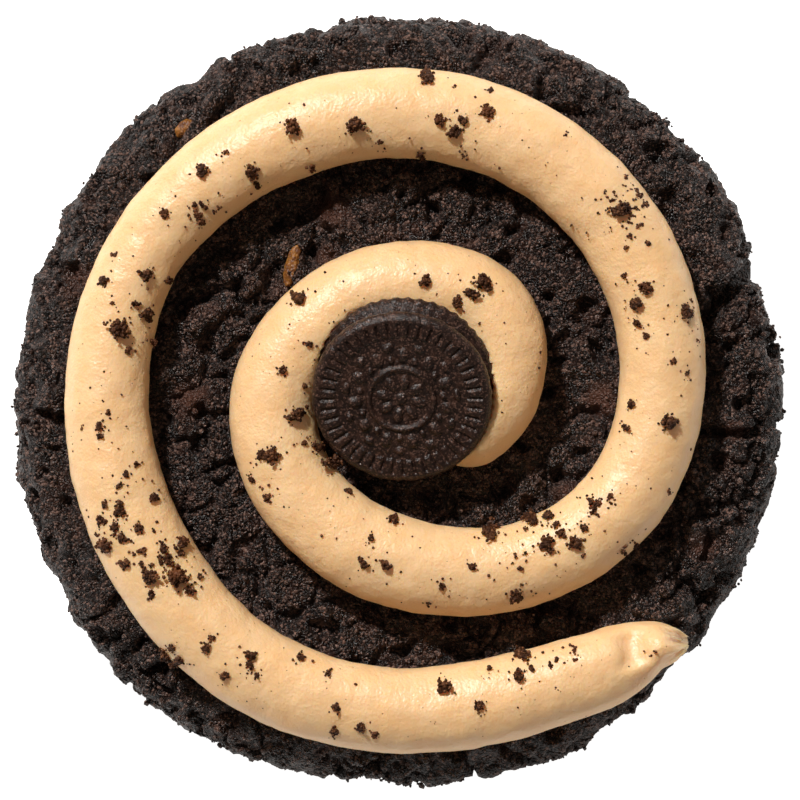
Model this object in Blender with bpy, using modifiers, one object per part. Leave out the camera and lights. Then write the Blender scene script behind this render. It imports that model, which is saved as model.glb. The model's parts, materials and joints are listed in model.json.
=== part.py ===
"""A thick dark cocoa cookie, topped with a spiral of piped peanut butter frosting and a small sandwich biscuit.

The cookie rests on its flat underside, centred on the origin. The frosting is one bead of about two turns, with
crumbs stuck to it. The sandwich biscuit leans in the eye of the spiral: two embossed wafers with a cream layer
between them. Everything is in metres, with +Z up.
"""

import bisect
import math
import random

import bmesh
import bpy
from mathutils import Matrix, Vector, noise

MM = 0.001

# Neighbouring solids keep this gap.
GAP = 0.3 * MM

# The cookie: widest radius, height at the centre, and how its section falls away towards the rim.
COOKIE_RADIUS = 56.0 * MM
CENTRE_HEIGHT = 16.5 * MM
CROWN_FALL = 1.5 * MM
SHOULDER_WIDTH = 8.0 * MM
SHOULDER_DROP = 7.0 * MM
FOOT_INSET = 3.2 * MM
CROWN_SHARE = 0.80
GIRTH_WAVE = 0.6 * MM
GRID_CELLS = 31
RIM_SHARE = 0.999
WALL_STEPS = (0.35, 0.68, 0.88, 1.0)

# Bulges and hollows of the rim: direction in degrees, size in metres, half-width in degrees.
RIM_LOBES = (
    (17, -0.9 * MM, 9),
    (36, 0.5 * MM, 15),
    (190, 0.5 * MM, 14),
    (229, 1.3 * MM, 20),
    (262, -0.7 * MM, 10),
    (301, 0.5 * MM, 9),
    (335, -0.8 * MM, 24),
)
RIM_RIPPLE = 0.5 * MM
RIPPLE_SIZE = 6.4 * MM

# Relief of the crust: rounded lumps, finer crags, their share on the side, and where they are pressed flat.
LUMP_SIZE = 7.0 * MM
LUMP_HEIGHT = 1.3 * MM
CRAG_SIZE = 3.2 * MM
CRAG_HEIGHT = 1.0 * MM
SIDE_RELIEF = 0.7
FLAT_MARGIN = 0.3 * MM
FLAT_BLEND = 2.2 * MM

# Cracks of the crust: half-width, depth, and the points that each runs through.
CRACKS = (
    (1.5 * MM, 3.6 * MM, ((52.1, 20.0), (48.8, 16.4), (46.4, 13.6), (44.2, 11.8))),
    (0.8 * MM, 2.4 * MM, ((43.8, -4.2), (47.8, -4.5), (50.6, -4.9), (53.8, -3.2), (57.1, -3.6))),
    (0.9 * MM, 2.2 * MM, ((-43.9, -37.6), (-38.9, -36.4), (-37.6, -34.8))),
    (1.1 * MM, 2.4 * MM, ((-37.0, -39.8), (-34.4, -38.6))),
    (0.9 * MM, 2.0 * MM, ((-25.0, 48.6), (-20.8, 48.9))),
    (0.9 * MM, 2.0 * MM, ((-16.8, 47.8), (-11.6, 50.2))),
    (0.7 * MM, 1.6 * MM, ((-10.0, 52.2), (-6.6, 54.0))),
    (1.0 * MM, 2.0 * MM, ((22.8, 41.9), (29.0, 42.2))),
    (0.6 * MM, 1.6 * MM, ((39.4, 39.8), (44.5, 34.0))),
)
CRACK_FLOOR = 0.3
CRACK_EDGE = 1.3

# The frosting bead's centreline and half-width, from the lifted tail inwards: degrees, radius, half-width.
BEAD_PATH = (
    (-40.35, 54.3 * MM, 1.0 * MM),
    (-41.8, 53.0 * MM, 2.5 * MM),
    (-44.0, 51.25 * MM, 3.75 * MM),
    (-46.2, 50.2 * MM, 4.45 * MM),
    (-49.6, 49.2 * MM, 5.35 * MM),
    (-55.0, 48.0 * MM, 5.85 * MM),
    (-61.0, 46.7 * MM, 6.0 * MM),
    (-71.6, 45.4 * MM, 6.3 * MM),
    (-90.0, 44.8 * MM, 6.2 * MM),
    (-120.0, 44.2 * MM, 6.4 * MM),
    (-150.0, 42.8 * MM, 6.6 * MM),
    (-180.0, 42.7 * MM, 6.2 * MM),
    (-210.0, 43.1 * MM, 5.75 * MM),
    (-240.0, 42.2 * MM, 6.45 * MM),
    (-270.0, 41.85 * MM, 6.6 * MM),
    (-300.0, 41.25 * MM, 6.45 * MM),
    (-330.0, 39.8 * MM, 6.35 * MM),
    (-360.0, 37.65 * MM, 6.25 * MM),
    (-385.0, 34.8 * MM, 6.2 * MM),
    (-410.0, 30.05 * MM, 6.2 * MM),
    (-435.0, 25.35 * MM, 6.5 * MM),
    (-460.0, 22.25 * MM, 6.8 * MM),
    (-490.0, 20.2 * MM, 6.5 * MM),
    (-540.0, 18.5 * MM, 6.35 * MM),
    (-585.0, 16.5 * MM, 6.45 * MM),
    (-630.0, 16.75 * MM, 6.5 * MM),
    (-675.0, 18.0 * MM, 6.5 * MM),
    (-705.0, 15.0 * MM, 6.4 * MM),
    (-740.0, 10.4 * MM, 6.1 * MM),
)
BEAD_TURNS = [-knot[0] for knot in BEAD_PATH]
BEAD_STEP = 3.4 * MM
BEAD_SIDES = 12
BEAD_WAIST = 0.62
BEAD_UPPER = 0.90
BEAD_LOWER = 0.78
BEAD_CAP_STEPS = 4
BEAD_CAP_BEND = math.radians(88.0)
TAIL_DROOP = 0.55

# The dent that the lifted nozzle left in the tail: steep at its start, and fading out towards the tip.
DENT_AT = Vector((32.5 * MM, -36.2 * MM))
DENT_HEADING = math.radians(12.0)
DENT_LENGTH = 7.5 * MM
DENT_WIDTH = 2.4 * MM
DENT_DEPTH = 1.35 * MM
DENT_START = (-1.5 * MM, 0.6 * MM)
DENT_CROOK = 0.45
TAIL_STRETCH = 1.0
TAIL_REACH = 9.0 * MM
DENT_OVER = (2.0 * MM, 5.0 * MM)

# The crumbs on the frosting: the turn in degrees, the place across the bead from -1 inside to 1 outside, and the width.
CRUMBS = (
    (-64.7, -0.98, 2.9 * MM),
    (-66.9, -0.45, 2.2 * MM),
    (-75.7, 0.03, 1.9 * MM),
    (-81.5, -0.55, 3.0 * MM),
    (-97.0, 0.48, 2.0 * MM),
    (-101.5, 0.68, 2.0 * MM),
    (-120.9, -0.21, 2.3 * MM),
    (-122.8, 0.5, 2.0 * MM),
    (-128.4, 0.25, 1.9 * MM),
    (-130.8, 0.92, 2.6 * MM),
    (-133.0, 1.05, 2.3 * MM),
    (-138.2, -0.35, 1.9 * MM),
    (-142.2, -0.31, 4.9 * MM),
    (-145.1, 0.2, 3.8 * MM),
    (-147.2, -0.78, 2.6 * MM),
    (-148.0, -0.37, 2.0 * MM),
    (-149.7, 0.55, 2.5 * MM),
    (-153.8, 0.34, 2.0 * MM),
    (-154.3, -0.1, 2.0 * MM),
    (-154.4, 0.78, 3.2 * MM),
    (-156.2, 0.39, 2.0 * MM),
    (-158.8, 0.15, 2.3 * MM),
    (-194.3, -0.14, 4.9 * MM),
    (-199.1, -0.73, 2.9 * MM),
    (-202.0, 0.62, 2.3 * MM),
    (-206.4, -0.33, 2.6 * MM),
    (-218.5, 0.16, 2.0 * MM),
    (-229.2, 0.28, 2.6 * MM),
    (-236.8, -0.4, 2.9 * MM),
    (-248.4, 0.08, 3.5 * MM),
    (-260.5, -0.21, 3.8 * MM),
    (-274.7, 0.83, 3.5 * MM),
    (-277.6, -0.1, 2.3 * MM),
    (-281.1, -0.32, 2.6 * MM),
    (-282.4, -0.02, 1.9 * MM),
    (-286.4, 0.34, 2.6 * MM),
    (-318.7, 0.28, 3.6 * MM),
    (-334.9, -0.07, 2.5 * MM),
    (-337.1, -0.43, 2.6 * MM),
    (-342.3, 0.66, 2.9 * MM),
    (-364.5, 0.28, 3.2 * MM),
    (-397.7, -0.93, 2.0 * MM),
    (-398.8, 0.01, 2.9 * MM),
    (-401.9, -1.05, 3.5 * MM),
    (-404.3, -0.31, 2.9 * MM),
    (-415.6, -1.04, 3.8 * MM),
    (-419.3, 0.73, 3.3 * MM),
    (-454.1, -0.89, 2.2 * MM),
    (-455.7, 0.15, 2.5 * MM),
    (-463.0, 0.29, 2.2 * MM),
    (-498.7, -1.05, 3.6 * MM),
    (-510.9, -0.93, 2.3 * MM),
    (-518.0, 0.15, 3.5 * MM),
    (-519.6, 0.39, 2.0 * MM),
    (-532.8, -0.56, 3.5 * MM),
    (-585.1, 0.72, 3.2 * MM),
    (-641.9, 0.13, 2.6 * MM),
    (-659.0, -0.23, 2.2 * MM),
    (-662.6, 0.11, 2.9 * MM),
    (-664.9, 0.48, 3.9 * MM),
)
CRUMB_SINK = 0.28
CRUMB_ROUGH = 0.16
CRUMB_SEED = 11_000
LARGE_CRUMB = 4.2 * MM
SURFACE_REACH = 0.97

# The sandwich biscuit: wafers, cream, how it leans, and how far its lower half has slipped up the slope.
WAFER_RADIUS = 13.1 * MM
WAFER_THICKNESS = 2.2 * MM
WAFER_EDGE = 1.3 * MM
WAFER_EDGE_STEPS = 3
WAFER_INSET = 0.45 * MM
CREAM_RADIUS = 11.6 * MM
CREAM_THICKNESS = 2.0 * MM
CREAM_BULGE = 0.4 * MM
SANDWICH_CENTRE = Vector((0.2 * MM, 1.5 * MM, 24.4 * MM))
SANDWICH_LEAN = math.radians(22.0)
SANDWICH_TURN = math.radians(-11.0)
SANDWICH_SLIP = 0.75 * MM
SEAT_SIDES = 48

# The pressed pattern: how high it is, the rings of equal marks as (count, radius, half-length outwards, half-width,
# turned by half a step), the raised ring, and the ridges round the rim.
EMBOSS_HEIGHT = 0.62 * MM
FIELD_DEPTH = 0.35 * MM
BOSS_RADIUS = 1.0 * MM
MARKS = (
    (8, 2.6 * MM, 1.25 * MM, 0.8 * MM, False),
    (11, 6.75 * MM, 1.2 * MM, 0.9 * MM, False),
    (11, 6.1 * MM, 0.6 * MM, 0.55 * MM, True),
    (11, 8.1 * MM, 0.65 * MM, 0.9 * MM, True),
)
RING_RADIUS = 4.7 * MM
RING_WIDTH = 0.5 * MM
RIDGES = 44
RIDGE_INNER = 9.5 * MM
RIDGE_OUTER = WAFER_RADIUS - WAFER_EDGE
RIDGE_BLEND = 0.4 * MM
RIDGE_DEPTH = 0.5 * MM
FACE_RINGS = [radius * MM for radius in (1.1, 2.6, 3.7, 4.2, 4.7, 5.2, 6.0, 6.75, 7.5, 8.1, 8.8)]
TOP_NOTCH = 0.06 * MM
BOTTOM_NOTCH = 0.22 * MM


def clear_scene():
    """Removes whatever the scene holds."""
    for obj in list(bpy.data.objects):
        bpy.data.objects.remove(obj, do_unlink=True)


def new_collection(name):
    """A new collection in the scene."""
    collection = bpy.data.collections.new(name)
    bpy.context.scene.collection.children.link(collection)
    return collection


def new_material(name, colour, roughness):
    """A plain food material: colour is linear red, green and blue."""
    material = bpy.data.materials.new(name)
    material.use_nodes = True
    shader = material.node_tree.nodes["Principled BSDF"]
    shader.inputs["Base Color"].default_value = (*colour, 1.0)
    shader.inputs["Roughness"].default_value = roughness
    shader.inputs["Metallic"].default_value = 0.0
    return material


def object_from(bm, name, collection, material=None):
    """Turns a bmesh into an object, with its faces pointing out."""
    bmesh.ops.recalc_face_normals(bm, faces=bm.faces)
    mesh = bpy.data.meshes.new(name)
    bm.to_mesh(mesh)
    bm.free()
    obj = bpy.data.objects.new(name, mesh)
    collection.objects.link(obj)
    if material is not None:
        mesh.materials.append(material)
    return obj


def drop_scraps(bm):
    """Keeps the largest of the bodies in a bmesh."""
    bodies, waiting = [], set(bm.verts)
    while waiting:
        body, edge_of_body = set(), {waiting.pop()}
        while edge_of_body:
            body |= edge_of_body
            near = {edge.other_vert(vert) for vert in edge_of_body for edge in vert.link_edges}
            edge_of_body = near - body
        waiting -= body
        bodies.append(body)
    keep = max(bodies, key=len)
    bmesh.ops.delete(bm, geom=[vert for vert in bm.verts if vert not in keep], context="VERTS")


def settled(obj, name, collection, material=None):
    """Replaces an object by the plain mesh that its modifiers or its curve make, with loose caps welded."""
    bpy.context.view_layer.update()
    graph = bpy.context.evaluated_depsgraph_get()
    mesh = bpy.data.meshes.new_from_object(obj.evaluated_get(graph))
    matrix = obj.matrix_world.copy()
    bpy.data.objects.remove(obj, do_unlink=True)
    bm = bmesh.new()
    bm.from_mesh(mesh)
    bpy.data.meshes.remove(mesh)
    bmesh.ops.remove_doubles(bm, verts=bm.verts, dist=0.01 * MM)
    drop_scraps(bm)
    made = object_from(bm, name, collection, material)
    made.matrix_world = matrix
    return made


def smooth_step(value, low, high):
    """0 below low, 1 above high, and a smooth rise between them."""
    share = min(max((value - low) / (high - low), 0.0), 1.0)
    return share * share * (3.0 - 2.0 * share)


# ---------------------------------------------------------------- the frosting's path


def knot_slope(index, column):
    """Slope of one column of BEAD_PATH at a knot, per degree of turn."""
    before = BEAD_PATH[max(index - 1, 0)]
    after = BEAD_PATH[min(index + 1, len(BEAD_PATH) - 1)]
    return (after[column] - before[column]) / (after[0] - before[0])


def path_value(turn, column):
    """Reads a column of BEAD_PATH at a turn in degrees, on a smooth curve through the knots."""
    index = min(max(bisect.bisect_right(BEAD_TURNS, -turn) - 1, 0), len(BEAD_PATH) - 2)
    start, end = BEAD_PATH[index], BEAD_PATH[index + 1]
    span = end[0] - start[0]
    t = (turn - start[0]) / span
    return (
        (2 * t**3 - 3 * t**2 + 1) * start[column]
        + (t**3 - 2 * t**2 + t) * span * knot_slope(index, column)
        + (3 * t**2 - 2 * t**3) * end[column]
        + (t**3 - t**2) * span * knot_slope(index + 1, column)
    )


def path_points():
    """Centreline points with their half-widths, one bead step apart, from the tail to the rounded inner end."""
    points = []
    turn = BEAD_PATH[0][0]
    while turn > BEAD_PATH[-1][0]:
        radius = path_value(turn, 1)
        angle = math.radians(turn)
        points.append((radius * math.cos(angle), radius * math.sin(angle), path_value(turn, 2)))
        turn -= math.degrees(BEAD_STEP / radius)
    end, before = Vector(points[-1][:2]), Vector(points[-2][:2])
    along = (end - before).normalized()
    width = points[-1][2]
    for step in range(1, BEAD_CAP_STEPS + 1):
        bend = BEAD_CAP_BEND * step / BEAD_CAP_STEPS
        place = end + along * width * math.sin(bend)
        points.append((place.x, place.y, width * math.cos(bend)))
    return points


PATH = path_points()


def nearest_on_path(x, y):
    """Distance from the centreline, and the half-width there."""
    best = None
    for (ax, ay, aw), (bx, by, bw) in zip(PATH, PATH[1:]):
        dx, dy = bx - ax, by - ay
        share = ((x - ax) * dx + (y - ay) * dy) / (dx * dx + dy * dy)
        share = min(max(share, 0.0), 1.0)
        away = math.hypot(x - ax - share * dx, y - ay - share * dy)
        if best is None or away < best[0]:
            best = (away, aw + share * (bw - aw))
    return best


# ---------------------------------------------------------------- the cookie's form


def rim_radius(angle):
    """Widest radius of the cookie in one direction, in radians."""
    radius = COOKIE_RADIUS
    for centre, size, half_width in RIM_LOBES:
        away = (math.degrees(angle) - centre + 180.0) % 360.0 - 180.0
        radius += size * math.exp(-((away / half_width) ** 2))
    around = Vector((math.cos(angle), math.sin(angle), 0.0)) * COOKIE_RADIUS / RIPPLE_SIZE
    return radius + RIM_RIPPLE * noise.noise(around)


def smooth_top(x, y):
    """Height of the cookie's top before its relief."""
    radius, reach = math.hypot(x, y), rim_radius(math.atan2(y, x))
    height = CENTRE_HEIGHT - CROWN_FALL * (radius / reach) ** 2
    share = min(max((radius - reach + SHOULDER_WIDTH) / SHOULDER_WIDTH, 0.0), 1.0)
    return height - SHOULDER_DROP * (1.0 - math.sqrt(1.0 - share * share))


def crack_depth(x, y):
    """How deep the cracks cut at a point of the top."""
    depth = 0.0
    for half_width, full_depth, points in CRACKS:
        for (ax, ay), (bx, by) in zip(points, points[1:]):
            start = Vector((ax * MM, ay * MM))
            along = Vector((bx * MM, by * MM)) - start
            share = min(max((Vector((x, y)) - start).dot(along) / along.length_squared, 0.0), 1.0)
            away = (Vector((x, y)) - start - along * share).length
            reach = half_width + 0.5 * COOKIE_RADIUS / GRID_CELLS
            depth = max(depth, full_depth * (1.0 - smooth_step(away, CRACK_FLOOR * reach, CRACK_EDGE * reach)))
    return depth


def relief(x, y, z=0.0):
    """Lumps and crags of the crust, as an outward shift."""
    place = Vector((x, y, z))
    lumps = noise.noise(place / LUMP_SIZE + Vector((3.0, 8.0, 1.0)))
    crags = noise.noise(place / CRAG_SIZE + Vector((9.0, 2.0, 5.0)))
    return LUMP_HEIGHT * lumps + CRAG_HEIGHT * crags


def top_height(x, y):
    """Height of the finished top. It is pressed flat under the frosting and under the biscuit's low edge."""
    away, half_width = nearest_on_path(x, y)
    under_bead = 1.0 - smooth_step(away - half_width, FLAT_MARGIN, FLAT_MARGIN + FLAT_BLEND)
    from_biscuit = math.hypot(x - SANDWICH_CENTRE.x, y - SANDWICH_CENTRE.y) - WAFER_RADIUS
    pressed = max(under_bead, 1.0 - smooth_step(from_biscuit, 0.0, FLAT_BLEND))
    rough = relief(x, y) * (1.0 - pressed) - GAP * 0.5 * pressed
    return smooth_top(x, y) + rough - crack_depth(x, y) * (1.0 - under_bead)


def disc_from_square(u, v):
    """Maps a point of the square from -1 to 1 to the unit disc, as (share of the radius, angle)."""
    if abs(u) < 1e-9 and abs(v) < 1e-9:
        return 0.0, 0.0
    if abs(u) >= abs(v):
        return abs(u), math.pi / 4.0 * v / u + (math.pi if u < 0.0 else 0.0)
    return abs(v), math.pi / 2.0 - math.pi / 4.0 * u / v + (math.pi if v < 0.0 else 0.0)


def crown_place(share, angle):
    """A point of the top: share runs from 0 at the centre, past the crown, to 1 at the widest girth."""
    reach = rim_radius(angle)
    flat = reach - SHOULDER_WIDTH
    if share <= CROWN_SHARE:
        radius = flat * share / CROWN_SHARE
    else:
        bend = math.pi / 2.0 * (share - CROWN_SHARE) / (1.0 - CROWN_SHARE)
        radius = flat + SHOULDER_WIDTH * math.sin(bend)
    x, y = radius * math.cos(angle), radius * math.sin(angle)
    if share > RIM_SHARE:
        return Vector((x, y, girth_height(angle)))
    out = Vector((math.cos(angle), math.sin(angle), 0.0))
    side_on = smooth_step(share, CROWN_SHARE, 1.0)
    lift = top_height(x, y) - smooth_top(x, y)
    return Vector((x, y, smooth_top(x, y) + lift * (1.0 - side_on))) + out * lift * side_on * SIDE_RELIEF


def girth_height(angle):
    """Height of the widest girth."""
    wave = noise.noise(Vector((math.cos(angle), math.sin(angle), 4.0)) * 3.0)
    return CENTRE_HEIGHT - CROWN_FALL - SHOULDER_DROP + GIRTH_WAVE * wave


def wall_place(share, angle):
    """A point of the side wall: share is 0 at the girth and 1 at the flat underside."""
    radius = rim_radius(angle) - FOOT_INSET * share**3
    height = girth_height(angle) * (1.0 - share)
    x, y = radius * math.cos(angle), radius * math.sin(angle)
    swell = relief(x, y, height) * SIDE_RELIEF * (1.0 - share)
    return Vector((x, y, height)) + Vector((math.cos(angle), math.sin(angle), 0.0)) * swell


def build_cookie(collection, material):
    """The cookie: a square grid wrapped over its top, whose edge is extruded down the wall and closed below."""
    bm = bmesh.new()
    bmesh.ops.create_grid(bm, x_segments=GRID_CELLS, y_segments=GRID_CELLS, size=1.0)
    angles = {}
    for vert in bm.verts:
        share, angle = disc_from_square(vert.co.x, vert.co.y)
        vert.co = crown_place(share, angle)
        if share > RIM_SHARE:
            angles[vert] = angle
    rim = [edge for edge in bm.edges if edge.is_boundary]
    for share in WALL_STEPS:
        before = {vert: angles[vert] for edge in rim for vert in edge.verts}
        grown = bmesh.ops.extrude_edge_only(bm, edges=rim)["geom"]
        fresh = [item for item in grown if isinstance(item, bmesh.types.BMVert)]
        rim = [item for item in grown if isinstance(item, bmesh.types.BMEdge)]
        rim = [edge for edge in rim if edge.is_boundary]
        for vert in fresh:
            above = [edge.other_vert(vert) for edge in vert.link_edges]
            angles[vert] = next(before[other] for other in above if other in before)
        for vert in fresh:
            vert.co = wall_place(share, angles[vert])
    bmesh.ops.holes_fill(bm, edges=rim, sides=0)
    bmesh.ops.triangulate(bm, faces=[face for face in bm.faces if len(face.verts) > 4])
    cookie = object_from(bm, "cookie", collection, material)
    cookie.data.shade_smooth()
    return cookie


# ---------------------------------------------------------------- the frosting


def bead_floor(x, y):
    """Height of the frosting's underside. Its tail doesn't droop as far as the cookie's shoulder falls."""
    crown = CENTRE_HEIGHT - CROWN_FALL * (math.hypot(x, y) / COOKIE_RADIUS) ** 2
    top = smooth_top(x, y)
    return crown - (crown - top) * TAIL_DROOP + GAP * 0.5


def bead_section():
    """The bead's section for a half-width of 1: round above, flat where it lies on the cookie."""
    points = []
    for step in range(BEAD_SIDES):
        bend = 2.0 * math.pi * (step + 0.5) / BEAD_SIDES
        upright = BEAD_UPPER if math.sin(bend) > 0.0 else BEAD_LOWER
        points.append((math.cos(bend), max(BEAD_WAIST + upright * math.sin(bend), 0.0)))
    return points


def new_curve(name, points, closed, collection):
    """A POLY curve object through points of (x, y, z, radius)."""
    data = bpy.data.curves.new(name, "CURVE")
    data.dimensions = "3D"
    spline = data.splines.new("POLY")
    spline.points.add(len(points) - 1)
    for target, (x, y, z, radius) in zip(spline.points, points):
        target.co = (x, y, z, 1.0)
        target.radius = radius
    spline.use_cyclic_u = closed
    obj = bpy.data.objects.new(name, data)
    collection.objects.link(obj)
    return obj


def bead_height(x, y):
    """Height of the frosting's surface above a point on it, and how far across the bead that point is."""
    away, half_width = nearest_on_path(x, y)
    across = min(away / half_width, SURFACE_REACH)
    rise = BEAD_WAIST + BEAD_UPPER * math.sqrt(1.0 - across * across)
    return bead_floor(x, y) + half_width * rise, across


def tail_dent(x, y):
    """Depth of the spoon-shaped dent in the tail."""
    apart = Vector((x, y)) - DENT_AT
    along = Vector((math.cos(DENT_HEADING), math.sin(DENT_HEADING)))
    lengthwise = apart.dot(along)
    sideways = (apart - along * lengthwise).length
    start = smooth_step(lengthwise + DENT_CROOK * sideways**2 / DENT_WIDTH, *DENT_START)
    fading = 1.0 - smooth_step(lengthwise, DENT_START[1], DENT_LENGTH)
    return DENT_DEPTH * start * fading * math.exp(-((sideways / DENT_WIDTH) ** 4))


def tail_stretch(x, y):
    """How many times taller than the bead's section the torn tip stands, as the nozzle drew it up."""
    away = math.hypot(x - PATH[0][0], y - PATH[0][1])
    return 1.0 + TAIL_STRETCH * (1.0 - smooth_step(away, 0.0, TAIL_REACH))


def crumb_places():
    """Centre and width of each crumb that lies outside the biscuit's outline."""
    places = []
    for turn, across, width in CRUMBS:
        radius = path_value(turn, 1) + across * path_value(turn, 2)
        x, y = radius * math.cos(math.radians(turn)), radius * math.sin(math.radians(turn))
        away = math.hypot(x - SANDWICH_CENTRE.x, y - SANDWICH_CENTRE.y - SANDWICH_SLIP)
        if away > WAFER_RADIUS + GAP + width / 2.0:
            places.append((x, y, width))
    return places


def build_crumb(x, y, width, number, collection):
    """One irregular crumb, sunk part of the way into the frosting."""
    draw = random.Random(CRUMB_SEED + number)
    height, across = bead_height(x, y)
    bm = bmesh.new()
    fine = 2 if width > LARGE_CRUMB else 1
    bmesh.ops.create_icosphere(bm, subdivisions=fine, radius=width / 2.0)
    stretch = Vector((draw.uniform(0.8, 1.1), draw.uniform(0.8, 1.1), draw.uniform(0.7, 0.9)))
    turn = Matrix.Rotation(draw.uniform(0.0, math.tau), 3, "Z")
    for vert in bm.verts:
        bump = 1.0 + CRUMB_ROUGH * draw.uniform(-1.0, 1.0)
        vert.co = turn @ (vert.co * stretch * bump)
    lift = width * (0.5 - CRUMB_SINK) * (0.9 - 0.5 * across)
    bmesh.ops.translate(bm, vec=(x, y, height + lift), verts=bm.verts)
    return object_from(bm, f"crumb_{number:02d}", collection)


def build_frosting(collection, cutters, material):
    """The bead, with its crumbs joined on and the biscuit's seat cut out."""
    section = [(u, v, 0.0, 1.0) for u, v in bead_section()]
    profile = new_curve("bead_section", section, True, cutters)
    points = [(x, y, bead_floor(x, y), width) for x, y, width in PATH]
    line = new_curve("bead_line", points, False, collection)
    line.data.bevel_mode = "OBJECT"
    line.data.bevel_object = profile
    line.data.use_fill_caps = True
    line.data.twist_mode = "Z_UP"
    bead = settled(line, "frosting", collection, material)
    bpy.data.objects.remove(profile, do_unlink=True)
    for vert in bead.data.vertices:
        x, y = vert.co.x, vert.co.y
        floor = bead_floor(x, y)
        above = (vert.co.z - floor) * tail_stretch(x, y)
        vert.co.z = floor + above
        vert.co.z -= tail_dent(x, y) * smooth_step(above, *DENT_OVER)
        vert.co.z = max(vert.co.z, smooth_top(x, y) + GAP * 0.5)
    crumbs = new_collection("crumbs")
    for number, (x, y, width) in enumerate(crumb_places()):
        build_crumb(x, y, width, number, crumbs)
    join = bead.modifiers.new("crumbs", "BOOLEAN")
    join.operation = "UNION"
    join.operand_type = "COLLECTION"
    join.collection = crumbs
    join.solver = "MANIFOLD"
    bead = settled(bead, "frosting", collection, material)
    for obj in list(crumbs.objects):
        bpy.data.objects.remove(obj, do_unlink=True)
    bpy.data.collections.remove(crumbs)
    seat = bead.modifiers.new("seat", "BOOLEAN")
    seat.operation = "DIFFERENCE"
    seat.object = build_seat(cutters)
    seat.solver = "MANIFOLD"
    return settled(bead, "frosting", collection, material)


# ---------------------------------------------------------------- the sandwich biscuit


def sandwich_frame():
    """Place and lean of the biscuit: its own +Z is the way its embossed face looks."""
    lean = Matrix.Rotation(SANDWICH_LEAN, 4, "X")
    return Matrix.Translation(SANDWICH_CENTRE) @ Matrix.Rotation(SANDWICH_TURN, 4, "Z") @ lean


def build_seat(cutters):
    """The cutter for the biscuit's seat: a drum round both wafers, one gap wider all round."""
    depth = 2.0 * (WAFER_THICKNESS + GAP) + CREAM_THICKNESS
    reach = WAFER_RADIUS + SANDWICH_SLIP / 2.0 + GAP
    bm = bmesh.new()
    bmesh.ops.create_cone(bm, cap_ends=True, segments=SEAT_SIDES, radius1=reach, radius2=reach, depth=depth)
    seat = object_from(bm, "seat_cutter", cutters)
    seat.matrix_world = sandwich_frame() @ Matrix.Translation((0.0, SANDWICH_SLIP / 2.0, 0.0))
    seat.hide_render = True
    seat.display_type = "WIRE"
    return seat


def turned(name, profile, steps, collection, material):
    """A turned solid from a profile of (radius, height) that runs from the top centre down to the bottom centre."""
    bm = bmesh.new()
    verts = [bm.verts.new((radius, 0.0, height)) for radius, height in profile]
    for first, second in zip(verts, verts[1:]):
        bm.edges.new((first, second))
    mesh = bpy.data.meshes.new(name)
    bm.to_mesh(mesh)
    bm.free()
    obj = bpy.data.objects.new(name + "_profile", mesh)
    collection.objects.link(obj)
    screw = obj.modifiers.new("turn", "SCREW")
    screw.steps = steps
    screw.render_steps = steps
    screw.use_merge_vertices = True
    screw.merge_threshold = 0.00001
    return settled(obj, name, collection, material)


def ridge(angle):
    """Height of the radial ridges round the rim, from 0 in a groove to 1 on a crest."""
    return 0.5 + 0.5 * math.cos(RIDGES * angle)


def hump(distance, radius):
    """A rounded raised mark, from 1 at its middle to 0 at its edge."""
    return max(0.0, 1.0 - (distance / radius) ** 2)


def mark_ring(radius, angle, count, at, half_length, half_width, turned_half):
    """Height of equal rounded marks round a circle, from 0 between them to 1 on their middles."""
    slot = math.tau / count
    local = (angle + (slot if turned_half else slot / 2.0)) % slot - slot / 2.0
    out = (radius * math.cos(local) - at) / half_length
    sideways = radius * math.sin(local) / half_width
    return hump(math.hypot(out, sideways), 1.0)


def emboss(x, y):
    """Height of the pressed pattern: a boss, a flower, a raised ring, leaves with beads, and the ridged border."""
    radius, angle = math.hypot(x, y), math.atan2(y, x)
    if radius > RIDGE_INNER - RIDGE_BLEND:
        border = smooth_step(radius, RIDGE_OUTER - RIDGE_BLEND, RIDGE_OUTER)
        return -RIDGE_DEPTH * (1.0 - border) * (1.0 - ridge(angle))
    height = max(hump(radius, BOSS_RADIUS), hump(radius - RING_RADIUS, RING_WIDTH))
    height = max(height, *(mark_ring(radius, angle, *mark) for mark in MARKS))
    return EMBOSS_HEIGHT * height - FIELD_DEPTH


def wafer_profile(embossed):
    """Half of a wafer's section, from the middle of its face, over its rounded rim, to the middle of its back."""
    face = [*FACE_RINGS, RIDGE_INNER, RIDGE_OUTER - RIDGE_BLEND] if embossed else []
    bends = [math.pi / 2.0 * step / WAFER_EDGE_STEPS for step in range(WAFER_EDGE_STEPS + 1)]
    rim = [(RIDGE_OUTER + WAFER_EDGE * math.sin(bend), WAFER_EDGE * (1.0 - math.cos(bend))) for bend in bends]
    return [
        (0.0, WAFER_THICKNESS),
        *[(radius, WAFER_THICKNESS) for radius in face],
        *[(radius, WAFER_THICKNESS - drop) for radius, drop in rim],
        (WAFER_RADIUS - WAFER_INSET, 0.0),
        (0.0, 0.0),
    ]


def build_wafer(name, embossed, notch_depth, collection, material):
    """One wafer, lying back down: its plain back is on the cream and its face looks out."""
    wafer = turned(name, wafer_profile(embossed), 2 * RIDGES, collection, material)
    for vert in wafer.data.vertices:
        radius = math.hypot(vert.co.x, vert.co.y)
        if vert.co.z > WAFER_THICKNESS - GAP and radius < RIDGE_OUTER + GAP:
            if embossed:
                vert.co.z += emboss(vert.co.x, vert.co.y)
        elif radius > RIDGE_OUTER:
            notch = notch_depth * (1.0 - ridge(math.atan2(vert.co.y, vert.co.x)))
            vert.co.x *= 1.0 - notch / radius
            vert.co.y *= 1.0 - notch / radius
    wafer.data.shade_smooth()
    return wafer


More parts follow.
